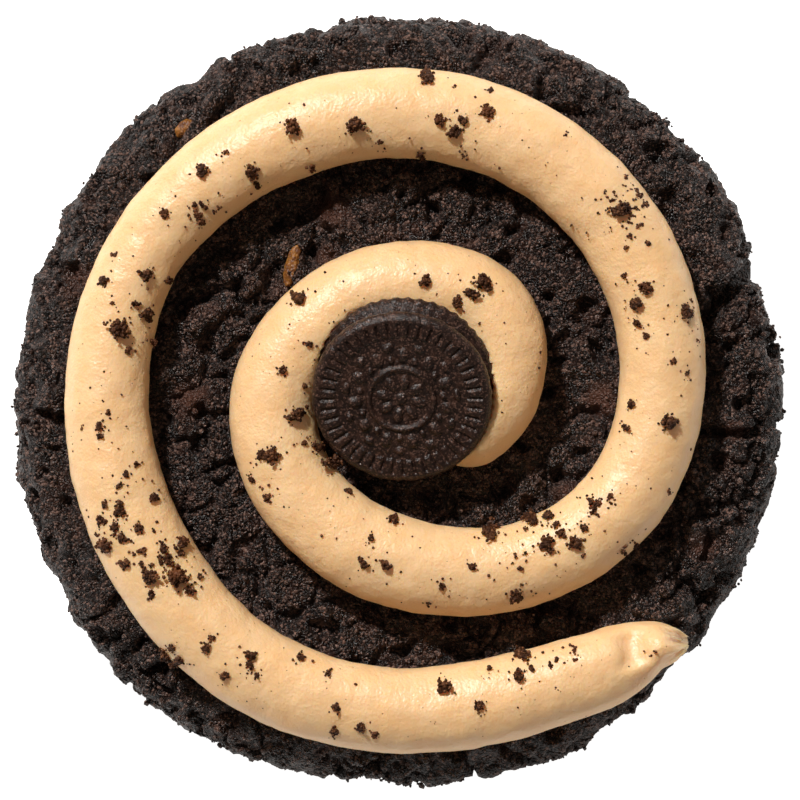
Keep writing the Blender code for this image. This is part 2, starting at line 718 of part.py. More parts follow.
def build_cream(collection, material):
    """The cream layer, a disc with a bulged edge."""
    half = CREAM_THICKNESS / 2.0 - GAP * 0.5
    profile = (
        (0.0, half),
        (CREAM_RADIUS - CREAM_BULGE, half),
        (CREAM_RADIUS, half - CREAM_BULGE),
        (CREAM_RADIUS, CREAM_BULGE - half),
        (CREAM_RADIUS - CREAM_BULGE, -half),
        (0.0, -half),
    )
    cream = turned("biscuit_cream", profile, RIDGES, collection, material)
    cream.matrix_world = sandwich_frame() @ Matrix.Translation((0.0, SANDWICH_SLIP / 2.0, 0.0))
    cream.data.shade_smooth()
    return cream


def main():
    """Builds the whole cookie."""
    clear_scene()
    cookie_parts = new_collection("frosted_cookie")
    cutters = new_collection("cutters")
    crust = new_material("cocoa_crust", (0.022, 0.014, 0.012), 0.75)
    frosting = new_material("peanut_butter_frosting", (0.82, 0.56, 0.27), 0.5)
    wafer = new_material("cocoa_wafer", (0.028, 0.017, 0.013), 0.55)
    cream = new_material("vanilla_cream", (0.85, 0.78, 0.64), 0.6)
    build_cookie(cookie_parts, crust)
    build_frosting(cookie_parts, cutters, frosting)
    top = build_wafer("biscuit_top_wafer", True, TOP_NOTCH, cookie_parts, wafer)
    top.matrix_world = sandwich_frame() @ Matrix.Translation((0.0, 0.0, CREAM_THICKNESS / 2.0))
    bottom = build_wafer("biscuit_bottom_wafer", False, BOTTOM_NOTCH, cookie_parts, wafer)
    below = Matrix.Translation((0.0, SANDWICH_SLIP, -CREAM_THICKNESS / 2.0))
    bottom.matrix_world = sandwich_frame() @ below @ Matrix.Rotation(math.pi, 4, "X")
    build_cream(cookie_parts, cream)


if __name__ == "__main__":
    main()
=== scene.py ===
"""The looks of a frosted cocoa cookie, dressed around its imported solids.

The cookie's crust, the piped frosting, the crumbs on it and the small sandwich biscuit are each made by their own
class. Everything is in metres, with +Z up, and the cookie rests on its flat underside at the origin.
"""

from __future__ import annotations

import itertools
import json
import logging
import math
import random
from collections.abc import Callable, Sequence
from dataclasses import dataclass, field
from enum import Enum

import bmesh
import bpy
import numpy as np
from mathutils import Matrix, Vector
from mathutils import noise as blender_noise

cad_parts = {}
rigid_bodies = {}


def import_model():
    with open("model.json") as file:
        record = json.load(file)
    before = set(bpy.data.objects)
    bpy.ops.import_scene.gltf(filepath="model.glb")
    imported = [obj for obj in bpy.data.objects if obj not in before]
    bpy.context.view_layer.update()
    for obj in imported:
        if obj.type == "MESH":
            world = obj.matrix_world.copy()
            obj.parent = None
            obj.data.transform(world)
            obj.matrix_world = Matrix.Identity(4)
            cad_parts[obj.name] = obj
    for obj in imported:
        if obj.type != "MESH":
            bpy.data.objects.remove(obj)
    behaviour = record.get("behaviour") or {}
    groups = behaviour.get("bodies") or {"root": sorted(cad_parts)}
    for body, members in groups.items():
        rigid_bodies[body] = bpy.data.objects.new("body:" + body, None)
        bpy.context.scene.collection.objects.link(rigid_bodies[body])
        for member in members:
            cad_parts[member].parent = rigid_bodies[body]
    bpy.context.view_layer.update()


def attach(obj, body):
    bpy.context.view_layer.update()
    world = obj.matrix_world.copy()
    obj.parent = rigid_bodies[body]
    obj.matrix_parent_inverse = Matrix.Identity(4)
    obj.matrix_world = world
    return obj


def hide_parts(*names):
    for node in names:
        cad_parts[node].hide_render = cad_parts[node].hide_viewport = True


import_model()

MM = 0.001
BODY = "root"
TRIANGLE_LIMIT = 200_000

Colour = tuple[float, float, float]
log = logging.getLogger("frosted_cookie")


class Grain(Enum):
    """The small solid that stands for one grain."""

    CRYSTAL = "six-cornered crystal"
    PEBBLE = "twenty-faced pebble"


# ---------------------------------------------------------------- small maths helpers


def smooth_step(value: np.ndarray, low: float, high: float) -> np.ndarray:
    """Rises smoothly from 0 to 1.

    Args:
        value: Numbers to read.
        low: Below this the result is 0.
        high: Above this the result is 1.

    Returns:
        The rise for every number.
    """
    share = np.clip((value - low) / (high - low), 0.0, 1.0)
    return share * share * (3.0 - 2.0 * share)


def hump(distance: np.ndarray, radius: float) -> np.ndarray:
    """A rounded raised mark.

    Args:
        distance: Distance from the mark's middle.
        radius: The mark's reach.

    Returns:
        1 at the middle, 0 from the reach outwards.
    """
    return np.clip(1.0 - (distance / radius) ** 2, 0.0, 1.0)


def random_turns(draw: np.random.Generator, count: int) -> np.ndarray:
    """Random rotations.

    Args:
        draw: Seeded source of random numbers.
        count: How many are wanted.

    Returns:
        An array of 3 by 3 matrices.
    """
    spin = draw.normal(size=(count, 4))
    w, x, y, z = (spin / np.linalg.norm(spin, axis=1, keepdims=True)).T
    rows = [
        [1 - 2 * (y * y + z * z), 2 * (x * y - z * w), 2 * (x * z + y * w)],
        [2 * (x * y + z * w), 1 - 2 * (x * x + z * z), 2 * (y * z - x * w)],
        [2 * (x * z - y * w), 2 * (y * z + x * w), 1 - 2 * (x * x + y * y)],
    ]
    return np.moveaxis(np.array(rows), 2, 0)


def read_noise(places: np.ndarray, shift: tuple[float, float, float]) -> np.ndarray:
    """Blender's own noise, which the solids are shaped with too.

    Args:
        places: Places to read, in noise units.
        shift: Added to every place.

    Returns:
        The noise at each place.
    """
    return np.array([blender_noise.noise(place) for place in (places + np.array(shift)).tolist()])


class Noise:
    """Seeded noise in three dimensions, read at many points at once."""

    size = 4096

    def __init__(self, seed: int) -> None:
        """Draws the tables.

        Args:
            seed: Makes the noise the same on each run.
        """
        draw = np.random.default_rng(seed)
        ways = draw.normal(size=(self.size, 3))
        self.order = draw.permutation(self.size)
        self.ways = ways / np.linalg.norm(ways, axis=1, keepdims=True)
        self.jitter = draw.random((self.size, 3))

    def _key(self, cell: np.ndarray) -> np.ndarray:
        """Table entry of each cell."""
        key = self.order[cell[:, 0] & (self.size - 1)]
        key = self.order[(key + cell[:, 1]) & (self.size - 1)]
        return self.order[(key + cell[:, 2]) & (self.size - 1)]

    def waves(self, points: np.ndarray, size: float) -> np.ndarray:
        """Smooth noise.

        Args:
            points: Places to read, in metres.
            size: Width of one wave.

        Returns:
            Values from about -1 to 1.
        """
        place = points / size
        cell = np.floor(place).astype(int)
        part = place - cell
        fade = part**3 * (part * (part * 6.0 - 15.0) + 10.0)
        total = np.zeros(len(points))
        for corner in itertools.product((0, 1), repeat=3):
            offset = np.array(corner)
            weight = np.prod(np.where(offset, fade, 1.0 - fade), axis=1)
            way = self.ways[self._key(cell + offset)]
            total += weight * np.einsum("ij,ij->i", way, part - offset)
        return 1.6 * total

    def cells(self, points: np.ndarray, size: float) -> tuple[np.ndarray, np.ndarray]:
        """Cellular noise.

        Args:
            points: Places to read, in metres.
            size: Width of one cell.

        Returns:
            Distance to the nearest cell centre and to the second nearest, in cell widths.
        """
        place = points / size
        home = np.floor(place).astype(int)
        nearest = np.full(len(points), np.inf)
        second = nearest
        for corner in itertools.product((-1, 0, 1), repeat=3):
            cell = home + np.array(corner)
            away = np.linalg.norm(cell + self.jitter[self._key(cell)] - place, axis=1)
            second = np.minimum(second, np.maximum(nearest, away))
            nearest = np.minimum(nearest, away)
        return nearest, second


# ---------------------------------------------------------------- mesh helpers


def add_object(name: str, data: bpy.types.ID) -> bpy.types.Object:
    """Makes an object.

    Args:
        name: Its name.
        data: Its mesh, camera or light.

    Returns:
        The object, linked to the scene.
    """
    obj = bpy.data.objects.new(name, data)
    bpy.context.scene.collection.objects.link(obj)
    return obj


def mesh_object(name: str, points: np.ndarray, faces: Sequence) -> bpy.types.Object:
    """Makes a smooth shaded mesh object.

    Args:
        name: The piece's name.
        points: Vertex places.
        faces: Vertex numbers of every face.

    Returns:
        The object, linked to the scene.
    """
    mesh = bpy.data.meshes.new(name)
    mesh.from_pydata(points.tolist(), [], [list(map(int, face)) for face in faces])
    mesh.polygons.foreach_set("use_smooth", np.full(len(mesh.polygons), True))
    mesh.update()
    return add_object(name, mesh)


def turn_faces_out(mesh: bpy.types.Mesh) -> None:
    """Turns every face of a closed mesh outwards.

    Args:
        mesh: The mesh to change.
    """
    bm = bmesh.new()
    bm.from_mesh(mesh)
    bmesh.ops.recalc_face_normals(bm, faces=bm.faces)
    bm.to_mesh(mesh)
    bm.free()


def vertex_places(mesh: bpy.types.Mesh) -> np.ndarray:
    """Vertex places of a mesh, one row each."""
    flat = np.empty(len(mesh.vertices) * 3)
    mesh.vertices.foreach_get("co", flat)
    return flat.reshape(-1, 3)


def vertex_normals(mesh: bpy.types.Mesh) -> np.ndarray:
    """Vertex normals of a mesh, one row each."""
    flat = np.empty(len(mesh.vertices) * 3)
    mesh.vertex_normals.foreach_get("vector", flat)
    return flat.reshape(-1, 3)


def move_vertices(mesh: bpy.types.Mesh, places: np.ndarray) -> None:
    """Puts the vertices of a mesh in new places.

    Args:
        mesh: The mesh to change.
        places: One row for each vertex.
    """
    mesh.vertices.foreach_set("co", places.ravel())
    mesh.update()


def shade_attribute(mesh: bpy.types.Mesh, name: str, values: np.ndarray) -> None:
    """Stores one number for each vertex, which the material reads.

    Args:
        mesh: The mesh to mark.
        name: The attribute's name.
        values: One number for each vertex.
    """
    layer = mesh.attributes.new(name, "FLOAT", "POINT")
    layer.data.foreach_set("value", values.astype(np.float32))


def tube_faces(rings: int, sides: int) -> list[tuple[int, ...]]:
    """Faces of a tube of rings that is closed around.

    Args:
        rings: Rings along the tube.
        sides: Vertices of each ring.

    Returns:
        The quads between neighbouring rings.
    """
    faces = []
    for ring, side in itertools.product(range(rings - 1), range(sides)):
        after = (side + 1) % sides
        low, high = ring * sides, (ring + 1) * sides
        faces.append((low + side, low + after, high + after, high + side))
    return faces


def grain_solid(kind: Grain) -> tuple[np.ndarray, np.ndarray]:
    """The small solid of radius 1 that grains are copied from.

    Args:
        kind: Which solid.

    Returns:
        Its vertex places and its triangles.
    """
    bm = bmesh.new()
    if kind is Grain.PEBBLE:
        bmesh.ops.create_icosphere(bm, subdivisions=1, radius=1.0)
    else:
        bmesh.ops.create_cone(bm, segments=4, radius1=1.0, radius2=0.0, depth=1.0)
        bmesh.ops.translate(bm, vec=(0.0, 0.0, 0.5), verts=bm.verts)
        bmesh.ops.mirror(bm, geom=bm.verts[:] + bm.edges[:] + bm.faces[:], axis="Z", merge_dist=1e-4)
        bmesh.ops.recalc_face_normals(bm, faces=bm.faces)
    places = np.array([vert.co[:] for vert in bm.verts])
    faces = np.array([[vert.index for vert in face.verts] for face in bm.faces])
    bm.free()
    return places, faces


def grain_cloud(
    name: str, kind: Grain, centres: np.ndarray, widths: np.ndarray, draw: np.random.Generator, rough: float
) -> bpy.types.Object:
    """Joins many small irregular grains in one mesh.

    Args:
        name: The piece's name.
        kind: The solid that each grain is made from.
        centres: Where the grains are.
        widths: Their widths.
        draw: Seeded source of random numbers.
        rough: How far a corner strays from the plain solid, as a share of its radius.

    Returns:
        The joined object.
    """
    places, faces = grain_solid(kind)
    count = len(centres)
    corners = places[None] * (1.0 + rough * draw.uniform(-1.0, 1.0, (count, len(places), 1)))
    corners = corners * draw.uniform(0.7, 1.15, (count, 1, 3)) * widths[:, None, None] / 2.0
    corners = np.einsum("nij,nkj->nki", random_turns(draw, count), corners) + centres[:, None]
    corners[:, :, 2] -= np.minimum(corners[:, :, 2].min(axis=1, keepdims=True), 0.0)
    numbers = faces[None] + np.arange(count)[:, None, None] * len(places)
    cloud = mesh_object(name, corners.reshape(-1, 3), numbers.reshape(-1, faces.shape[1]))
    shade_attribute(cloud.data, "shade", np.repeat(draw.random(count), len(places)))
    return cloud


# ---------------------------------------------------------------- shader node groups


class ShaderTree:
    """A node tree with short ways to add and join nodes."""

    def __init__(self, tree: bpy.types.NodeTree) -> None:
        """Takes the tree to work on.

        Args:
            tree: A material's or a group's tree.
        """
        self.tree = tree

    def add(self, kind: str, **settings: object) -> bpy.types.Node:
        """Adds a node.

        Args:
            kind: The node's type.
            **settings: Properties, or default values of inputs by name with _ for a space.

        Returns:
            The node.
        """
        node = self.tree.nodes.new(kind)
        for key, value in settings.items():
            socket = key.replace("_", " ")
            if socket in node.inputs:
                node.inputs[socket].default_value = value
            else:
                setattr(node, key, value)
        return node

    def join(self, source: bpy.types.NodeSocket, target: bpy.types.NodeSocket) -> None:
        """Links an output to an input."""
        self.tree.links.new(source, target)

    def feed(self, values: Sequence, sockets: Sequence) -> None:
        """Gives values to inputs.

        Args:
            values: A socket, a number or a colour for each input.
            sockets: The inputs.
        """
        for value, socket in zip(values, sockets):
            if isinstance(value, bpy.types.NodeSocket):
                self.join(value, socket)
            else:
                socket.default_value = (*value, 1.0) if isinstance(value, tuple) else value

    def math(self, operation: str, first: object, second: object) -> bpy.types.NodeSocket:
        """Adds a math node.

        Args:
            operation: What it does.
            first: A socket or a number.
            second: A socket or a number.

        Returns:
            Its output.
        """
        node = self.add("ShaderNodeMath", operation=operation)
        self.feed((first, second), node.inputs[:2])
        return node.outputs[0]

    def mix(self, factor: object, first: object, second: object) -> bpy.types.NodeSocket:
        """Adds a colour mix.

        Args:
            factor: A socket or a number.
            first: A socket or a colour.
            second: A socket or a colour.

        Returns:
            The mixed colour.
        """
        node = self.add("ShaderNodeMix", data_type="RGBA")
        self.feed((factor, first, second), (node.inputs[0], node.inputs[6], node.inputs[7]))
        return node.outputs[2]


class NodeGroups:
    """The shared shader effects, each built once."""

    def __init__(self) -> None:
        """Builds every group."""
        self.grain = self._grain()
        self.mottle = self._mottle()

    @staticmethod
    def _open(name: str, inputs: dict[str, tuple[str, object]], outputs: dict[str, str]) -> tuple:
        """Makes an empty group.

        Args:
            name: The group's name.
            inputs: Socket type and default value of each input.
            outputs: Socket type of each output.

        Returns:
            The group, its tree helper, and its input and output nodes.
        """
        group = bpy.data.node_groups.new(name, "ShaderNodeTree")
        for label, (kind, value) in inputs.items():
            socket = group.interface.new_socket(label, in_out="INPUT", socket_type=kind)
            socket.default_value = value
        for label, kind in outputs.items():
            group.interface.new_socket(label, in_out="OUTPUT", socket_type=kind)
        tree = ShaderTree(group)
        return group, tree, tree.add("NodeGroupInput"), tree.add("NodeGroupOutput")

    def _grain(self) -> bpy.types.NodeTree:
        """Grains of about one size: a height for bump and a random shade for each grain.

        Returns:
            The group.
        """
        number = "NodeSocketFloat"
        group, tree, inside, outside = self._open(
            "baked_grain", {"Scale": (number, 2500.0)}, {"Height": number, "Shade": number}
        )
        where = tree.add("ShaderNodeTexCoord").outputs["Object"]
        cells = tree.add("ShaderNodeTexVoronoi", Randomness=1.0)
        fine = tree.add("ShaderNodeTexNoise", Detail=2.0, Roughness=0.6)
        tree.join(where, cells.inputs["Vector"])
        tree.join(where, fine.inputs["Vector"])
        tree.join(inside.outputs["Scale"], cells.inputs["Scale"])
        tree.join(tree.math("MULTIPLY", inside.outputs["Scale"], 1.7), fine.inputs["Scale"])
        bump = tree.math("SUBTRACT", 0.8, cells.outputs["Distance"])
        bump = tree.math("ADD", bump, tree.math("MULTIPLY", fine.outputs["Fac"], 0.5))
        parts = tree.add("ShaderNodeSeparateColor")
        tree.join(cells.outputs["Color"], parts.inputs[0])
        tree.join(bump, outside.inputs["Height"])
        tree.join(parts.outputs[0], outside.inputs["Shade"])
        return group

    def _mottle(self) -> bpy.types.NodeTree:
        """Uneven baking or mixing: two colours in soft patches, with finer patches inside them.

        Returns:
            The group.
        """
        number, colour = "NodeSocketFloat", "NodeSocketColor"
        group, tree, inside, outside = self._open(
            "uneven_colour",
            {
                "Scale": (number, 200.0),
                "Low": (colour, (0.1, 0.1, 0.1, 1.0)),
                "High": (colour, (0.2, 0.2, 0.2, 1.0)),
                "From": (number, 0.4),
                "To": (number, 0.6),
            },
            {"Color": colour},
        )
        where = tree.add("ShaderNodeTexCoord").outputs["Object"]
        waves = tree.add("ShaderNodeTexNoise", Detail=4.0, Roughness=0.62)
        tree.join(where, waves.inputs["Vector"])
        tree.join(inside.outputs["Scale"], waves.inputs["Scale"])
        ramp = tree.add("ShaderNodeMapRange", interpolation_type="SMOOTHSTEP")
        tree.join(waves.outputs["Fac"], ramp.inputs["Value"])
        tree.join(inside.outputs["From"], ramp.inputs["From Min"])
        tree.join(inside.outputs["To"], ramp.inputs["From Max"])
        mixed = tree.mix(ramp.outputs[0], inside.outputs["Low"], inside.outputs["High"])
        tree.join(mixed, outside.inputs["Color"])
        return group


# ---------------------------------------------------------------- finishes


@dataclass(frozen=True)
class Finish:
    """What every finish has: its name and how rough it is."""

    name: str
    roughness: float

    def begin(self) -> tuple[bpy.types.Material, ShaderTree, bpy.types.Node]:
        """Starts the material.

        Returns:
            The material, its tree helper and its Principled node.
        """
        material = bpy.data.materials.new(self.name)
        material.use_nodes = True
        shader = material.node_tree.nodes["Principled BSDF"]
        shader.inputs["Roughness"].default_value = self.roughness
        return material, ShaderTree(material.node_tree), shader

    def patches(
        self, tree: ShaderTree, groups: NodeGroups, size: float, low: Colour, high: Colour, edges: tuple[float, float]
    ) -> bpy.types.Node:
        """Places the group for uneven colour.

        Args:
            tree: The material's tree helper.
            groups: The shared groups.
            size: Width of a patch.
            low: One colour.
            high: The other colour.
            edges: Where on the noise the colours change.

        Returns:
            The group node.
        """
        node = tree.add("ShaderNodeGroup", node_tree=groups.mottle)
        node.inputs["Scale"].default_value = 1.0 / size
        node.inputs["Low"].default_value = (*low, 1.0)
        node.inputs["High"].default_value = (*high, 1.0)
        node.inputs["From"].default_value, node.inputs["To"].default_value = edges
        return node

    def grains(self, tree: ShaderTree, groups: NodeGroups, size: float) -> bpy.types.Node:
        """Places the group for grain.

        Args:
            tree: The material's tree helper.
            groups: The shared groups.
            size: Width of one grain.

        Returns:
            The group node.
        """
        node = tree.add("ShaderNodeGroup", node_tree=groups.grain)
        node.inputs["Scale"].default_value = 1.0 / size
        return node

    def bump(self, tree: ShaderTree, shader: bpy.types.Node, height: bpy.types.NodeSocket, depth: float) -> None:
        """Feeds a height to the shader's normal.

        Args:
            tree: The material's tree helper.
            shader: The Principled node.
            height: The height's socket.
            depth: How deep a height of 1 is.
        """
        node = tree.add("ShaderNodeBump", Strength=1.0, Distance=depth)
        tree.join(height, node.inputs["Height"])
        tree.join(node.outputs["Normal"], shader.inputs["Normal"])


@dataclass(frozen=True)
class CrumbFinish(Finish):
    """Dark baked crumb: nearly black, with patches that turn brown, and a painted highlight colour mixed into some
    grains to stand for glints of light.
    """

    gloss: float
    dark: Colour
    brown: Colour
    # painted highlight: a pale colour mixed into the base colour of some grains, standing for glints of light
    painted_glint: Colour
    grain: float
    depth: float
    patch: float = 5.0 * MM
    patch_edges: tuple[float, float] = (0.48, 0.72)
    # where on a grain cell's random number the painted highlight begins
    painted_glint_from: float = 0.55
    # how far the grains with the highest random number lean towards the painted highlight colour
    painted_glint_spread: float = 0.0
    warm: Colour | None = None
    most_warmth: float = 0.75

    def material(self, groups: NodeGroups) -> bpy.types.Material:
        """Builds the material.

        Args:
            groups: The shared groups.

        Returns:
            The material.
        """
        material, tree, shader = self.begin()
        shader.inputs["Specular IOR Level"].default_value = self.gloss
        patches = self.patches(tree, groups, self.patch, self.dark, self.brown, self.patch_edges)
        grains = self.grains(tree, groups, self.grain)
        # Painted highlight: grain cells whose random number passes the threshold get the glint colour in their base
        # colour.
        bright = tree.add("ShaderNodeMapRange", From_Min=self.painted_glint_from, From_Max=1.0)
        tree.join(grains.outputs["Shade"], bright.inputs["Value"])
        lit = tree.math("POWER", bright.outputs[0], 2.0)
        colour = tree.mix(lit, patches.outputs["Color"], self.painted_glint)
        if self.warm:
            warmth = tree.add("ShaderNodeAttribute", attribute_name="warmth")
            colour = tree.mix(tree.math("MULTIPLY", warmth.outputs["Fac"], self.most_warmth), colour, self.warm)
        # Painted highlight on whole grains: those with the highest random shade number lean towards the glint colour.
        if self.painted_glint_spread:
            shade = tree.add("ShaderNodeAttribute", attribute_name="shade")
            level = tree.math("MULTIPLY", tree.math("POWER", shade.outputs["Fac"], 4.0), self.painted_glint_spread)
            colour = tree.mix(level, colour, self.painted_glint)
        tree.join(colour, shader.inputs["Base Color"])
        self.bump(tree, shader, grains.outputs["Height"], self.depth)
        return material


@dataclass(frozen=True)
class FrostingFinish(Finish):
    """Whipped peanut butter frosting: satin, a little translucent, with fine specks and pores."""

    pale: Colour
    deep: Colour
    speck: Colour
    glow_radius: Colour
    glow: float
    speck_cell: float
    depth: float
    patch: float = 4.0 * MM
    patch_edges: tuple[float, float] = (0.3, 0.7)
    grain: float = 0.45 * MM
    pore_scale: float = 900.0
    speck_reach: float = 0.13
    speck_core: float = 0.05
    bare_cells: float = 0.45

    def material(self, groups: NodeGroups) -> bpy.types.Material:
        """Builds the material.

        Args:
            groups: The shared groups.

        Returns:
            The material.
        """
        material, tree, shader = self.begin()
        shader.inputs["Subsurface Weight"].default_value = self.glow
        shader.inputs["Subsurface Radius"].default_value = self.glow_radius
        shader.inputs["Subsurface Scale"].default_value = MM
        patches = self.patches(tree, groups, self.patch, self.deep, self.pale, self.patch_edges)
        where = tree.add("ShaderNodeTexCoord").outputs["Object"]
        cells = tree.add("ShaderNodeTexVoronoi", Scale=1.0 / self.speck_cell, Randomness=1.0)
        tree.join(where, cells.inputs["Vector"])
        parts = tree.add("ShaderNodeSeparateColor")
        tree.join(cells.outputs["Color"], parts.inputs[0])
        near = tree.add("ShaderNodeMapRange", From_Min=self.speck_reach, From_Max=self.speck_core)
        tree.join(cells.outputs["Distance"], near.inputs["Value"])
        chosen = tree.math("GREATER_THAN", parts.outputs[0], self.bare_cells)
        spots = tree.math("MULTIPLY", near.outputs[0], chosen)
        spots = tree.math("MULTIPLY", spots, parts.outputs[1])
        colour = tree.mix(spots, patches.outputs["Color"], self.speck)
        tree.join(colour, shader.inputs["Base Color"])
        grains = self.grains(tree, groups, self.grain)
        soft = tree.add("ShaderNodeTexNoise", Scale=self.pore_scale, Detail=3.0, Roughness=0.6)
        tree.join(where, soft.inputs["Vector"])
        height = tree.math("MULTIPLY", grains.outputs["Height"], 0.3)
        height = tree.math("ADD", height, soft.outputs["Fac"])
        height = tree.math("SUBTRACT", height, tree.math("MULTIPLY", spots, 0.6))
        self.bump(tree, shader, height, self.depth)
        return material


@dataclass(frozen=True)
class PlainFoodFinish(Finish):
    """A food of nearly one colour, such as cream or a baked chip."""

    low: Colour
    high: Colour
    patch: float
    grain: float
    depth: float
    glow: float = 0.0
    patch_edges: tuple[float, float] = (0.35, 0.65)

    def material(self, groups: NodeGroups) -> bpy.types.Material:
        """Builds the material.

        Args:
            groups: The shared groups.

        Returns:
            The material.
        """
        material, tree, shader = self.begin()
        shader.inputs["Subsurface Weight"].default_value = self.glow
        shader.inputs["Subsurface Scale"].default_value = MM
        patches = self.patches(tree, groups, self.patch, self.low, self.high, self.patch_edges)
        tree.join(patches.outputs["Color"], shader.inputs["Base Color"])
        grains = self.grains(tree, groups, self.grain)
        self.bump(tree, shader, grains.outputs["Height"], self.depth)
        return material


# The crust's colours are darker than the loose grain's: the cocoa's own near-black, darkened further to paint shade in
# the gaps between the grains and crumbs.
CRUST = CrumbFinish(
    name="cocoa crust",
    roughness=0.34,
    gloss=0.42,
    dark=(0.0055, 0.0024, 0.0018),
    brown=(0.027, 0.0102, 0.0066),
    painted_glint=(0.20, 0.115, 0.090),
    grain=0.36 * MM,
    depth=0.40 * MM,
    warm=(0.085, 0.034, 0.022),
)
CRUST_GRAIN = CrumbFinish(
    name="cocoa crust grain",
    roughness=0.29,
    gloss=0.52,
    dark=(0.0100, 0.0043, 0.0033),
    brown=(0.043, 0.0160, 0.0105),
    painted_glint=(0.30, 0.180, 0.142),
    grain=0.24 * MM,
    depth=0.30 * MM,
    painted_glint_spread=0.30,
    warm=(0.110, 0.046, 0.030),
)
CRUMB = CrumbFinish(
    name="scattered cookie crumb",
    roughness=0.55,
    gloss=0.2,
    dark=(0.034, 0.0105, 0.0036),
    brown=(0.105, 0.030, 0.0085),
    painted_glint=(0.22, 0.088, 0.036),
    grain=0.30 * MM,
    depth=0.10 * MM,
    painted_glint_spread=0.30,
)
WAFER = CrumbFinish(
    name="cocoa wafer",
    roughness=0.31,
    gloss=0.32,
    dark=(0.0135, 0.0060, 0.0045),
    brown=(0.040, 0.0170, 0.0112),
    painted_glint=(0.13, 0.068, 0.050),
    grain=0.22 * MM,
    depth=0.06 * MM,
    patch=2.2 * MM,
)
FROSTING = FrostingFinish(
    name="peanut butter frosting",
    roughness=0.39,
    pale=(0.905, 0.615, 0.342),
    deep=(0.880, 0.560, 0.282),
    speck=(0.36, 0.17, 0.05),
    glow_radius=(1.9, 1.4, 0.8),
    glow=0.6,
    speck_cell=1.1 * MM,
    depth=0.15 * MM,
)
CREAM = PlainFoodFinish(
    name="vanilla cream",
    roughness=0.55,
    low=(0.80, 0.72, 0.57),
    high=(0.86, 0.80, 0.68),
    patch=2.0 * MM,
    grain=0.4 * MM,
    depth=0.05 * MM,
    glow=0.2,
)
CHIP = PlainFoodFinish(
    name="baked peanut chip",
    roughness=0.45,
    low=(0.105, 0.030, 0.007),
    high=(0.31, 0.125, 0.022),
    patch=0.8 * MM,
    grain=0.4 * MM,
    depth=0.15 * MM,
    glow=0.1,
)


# ---------------------------------------------------------------- the frosting's path


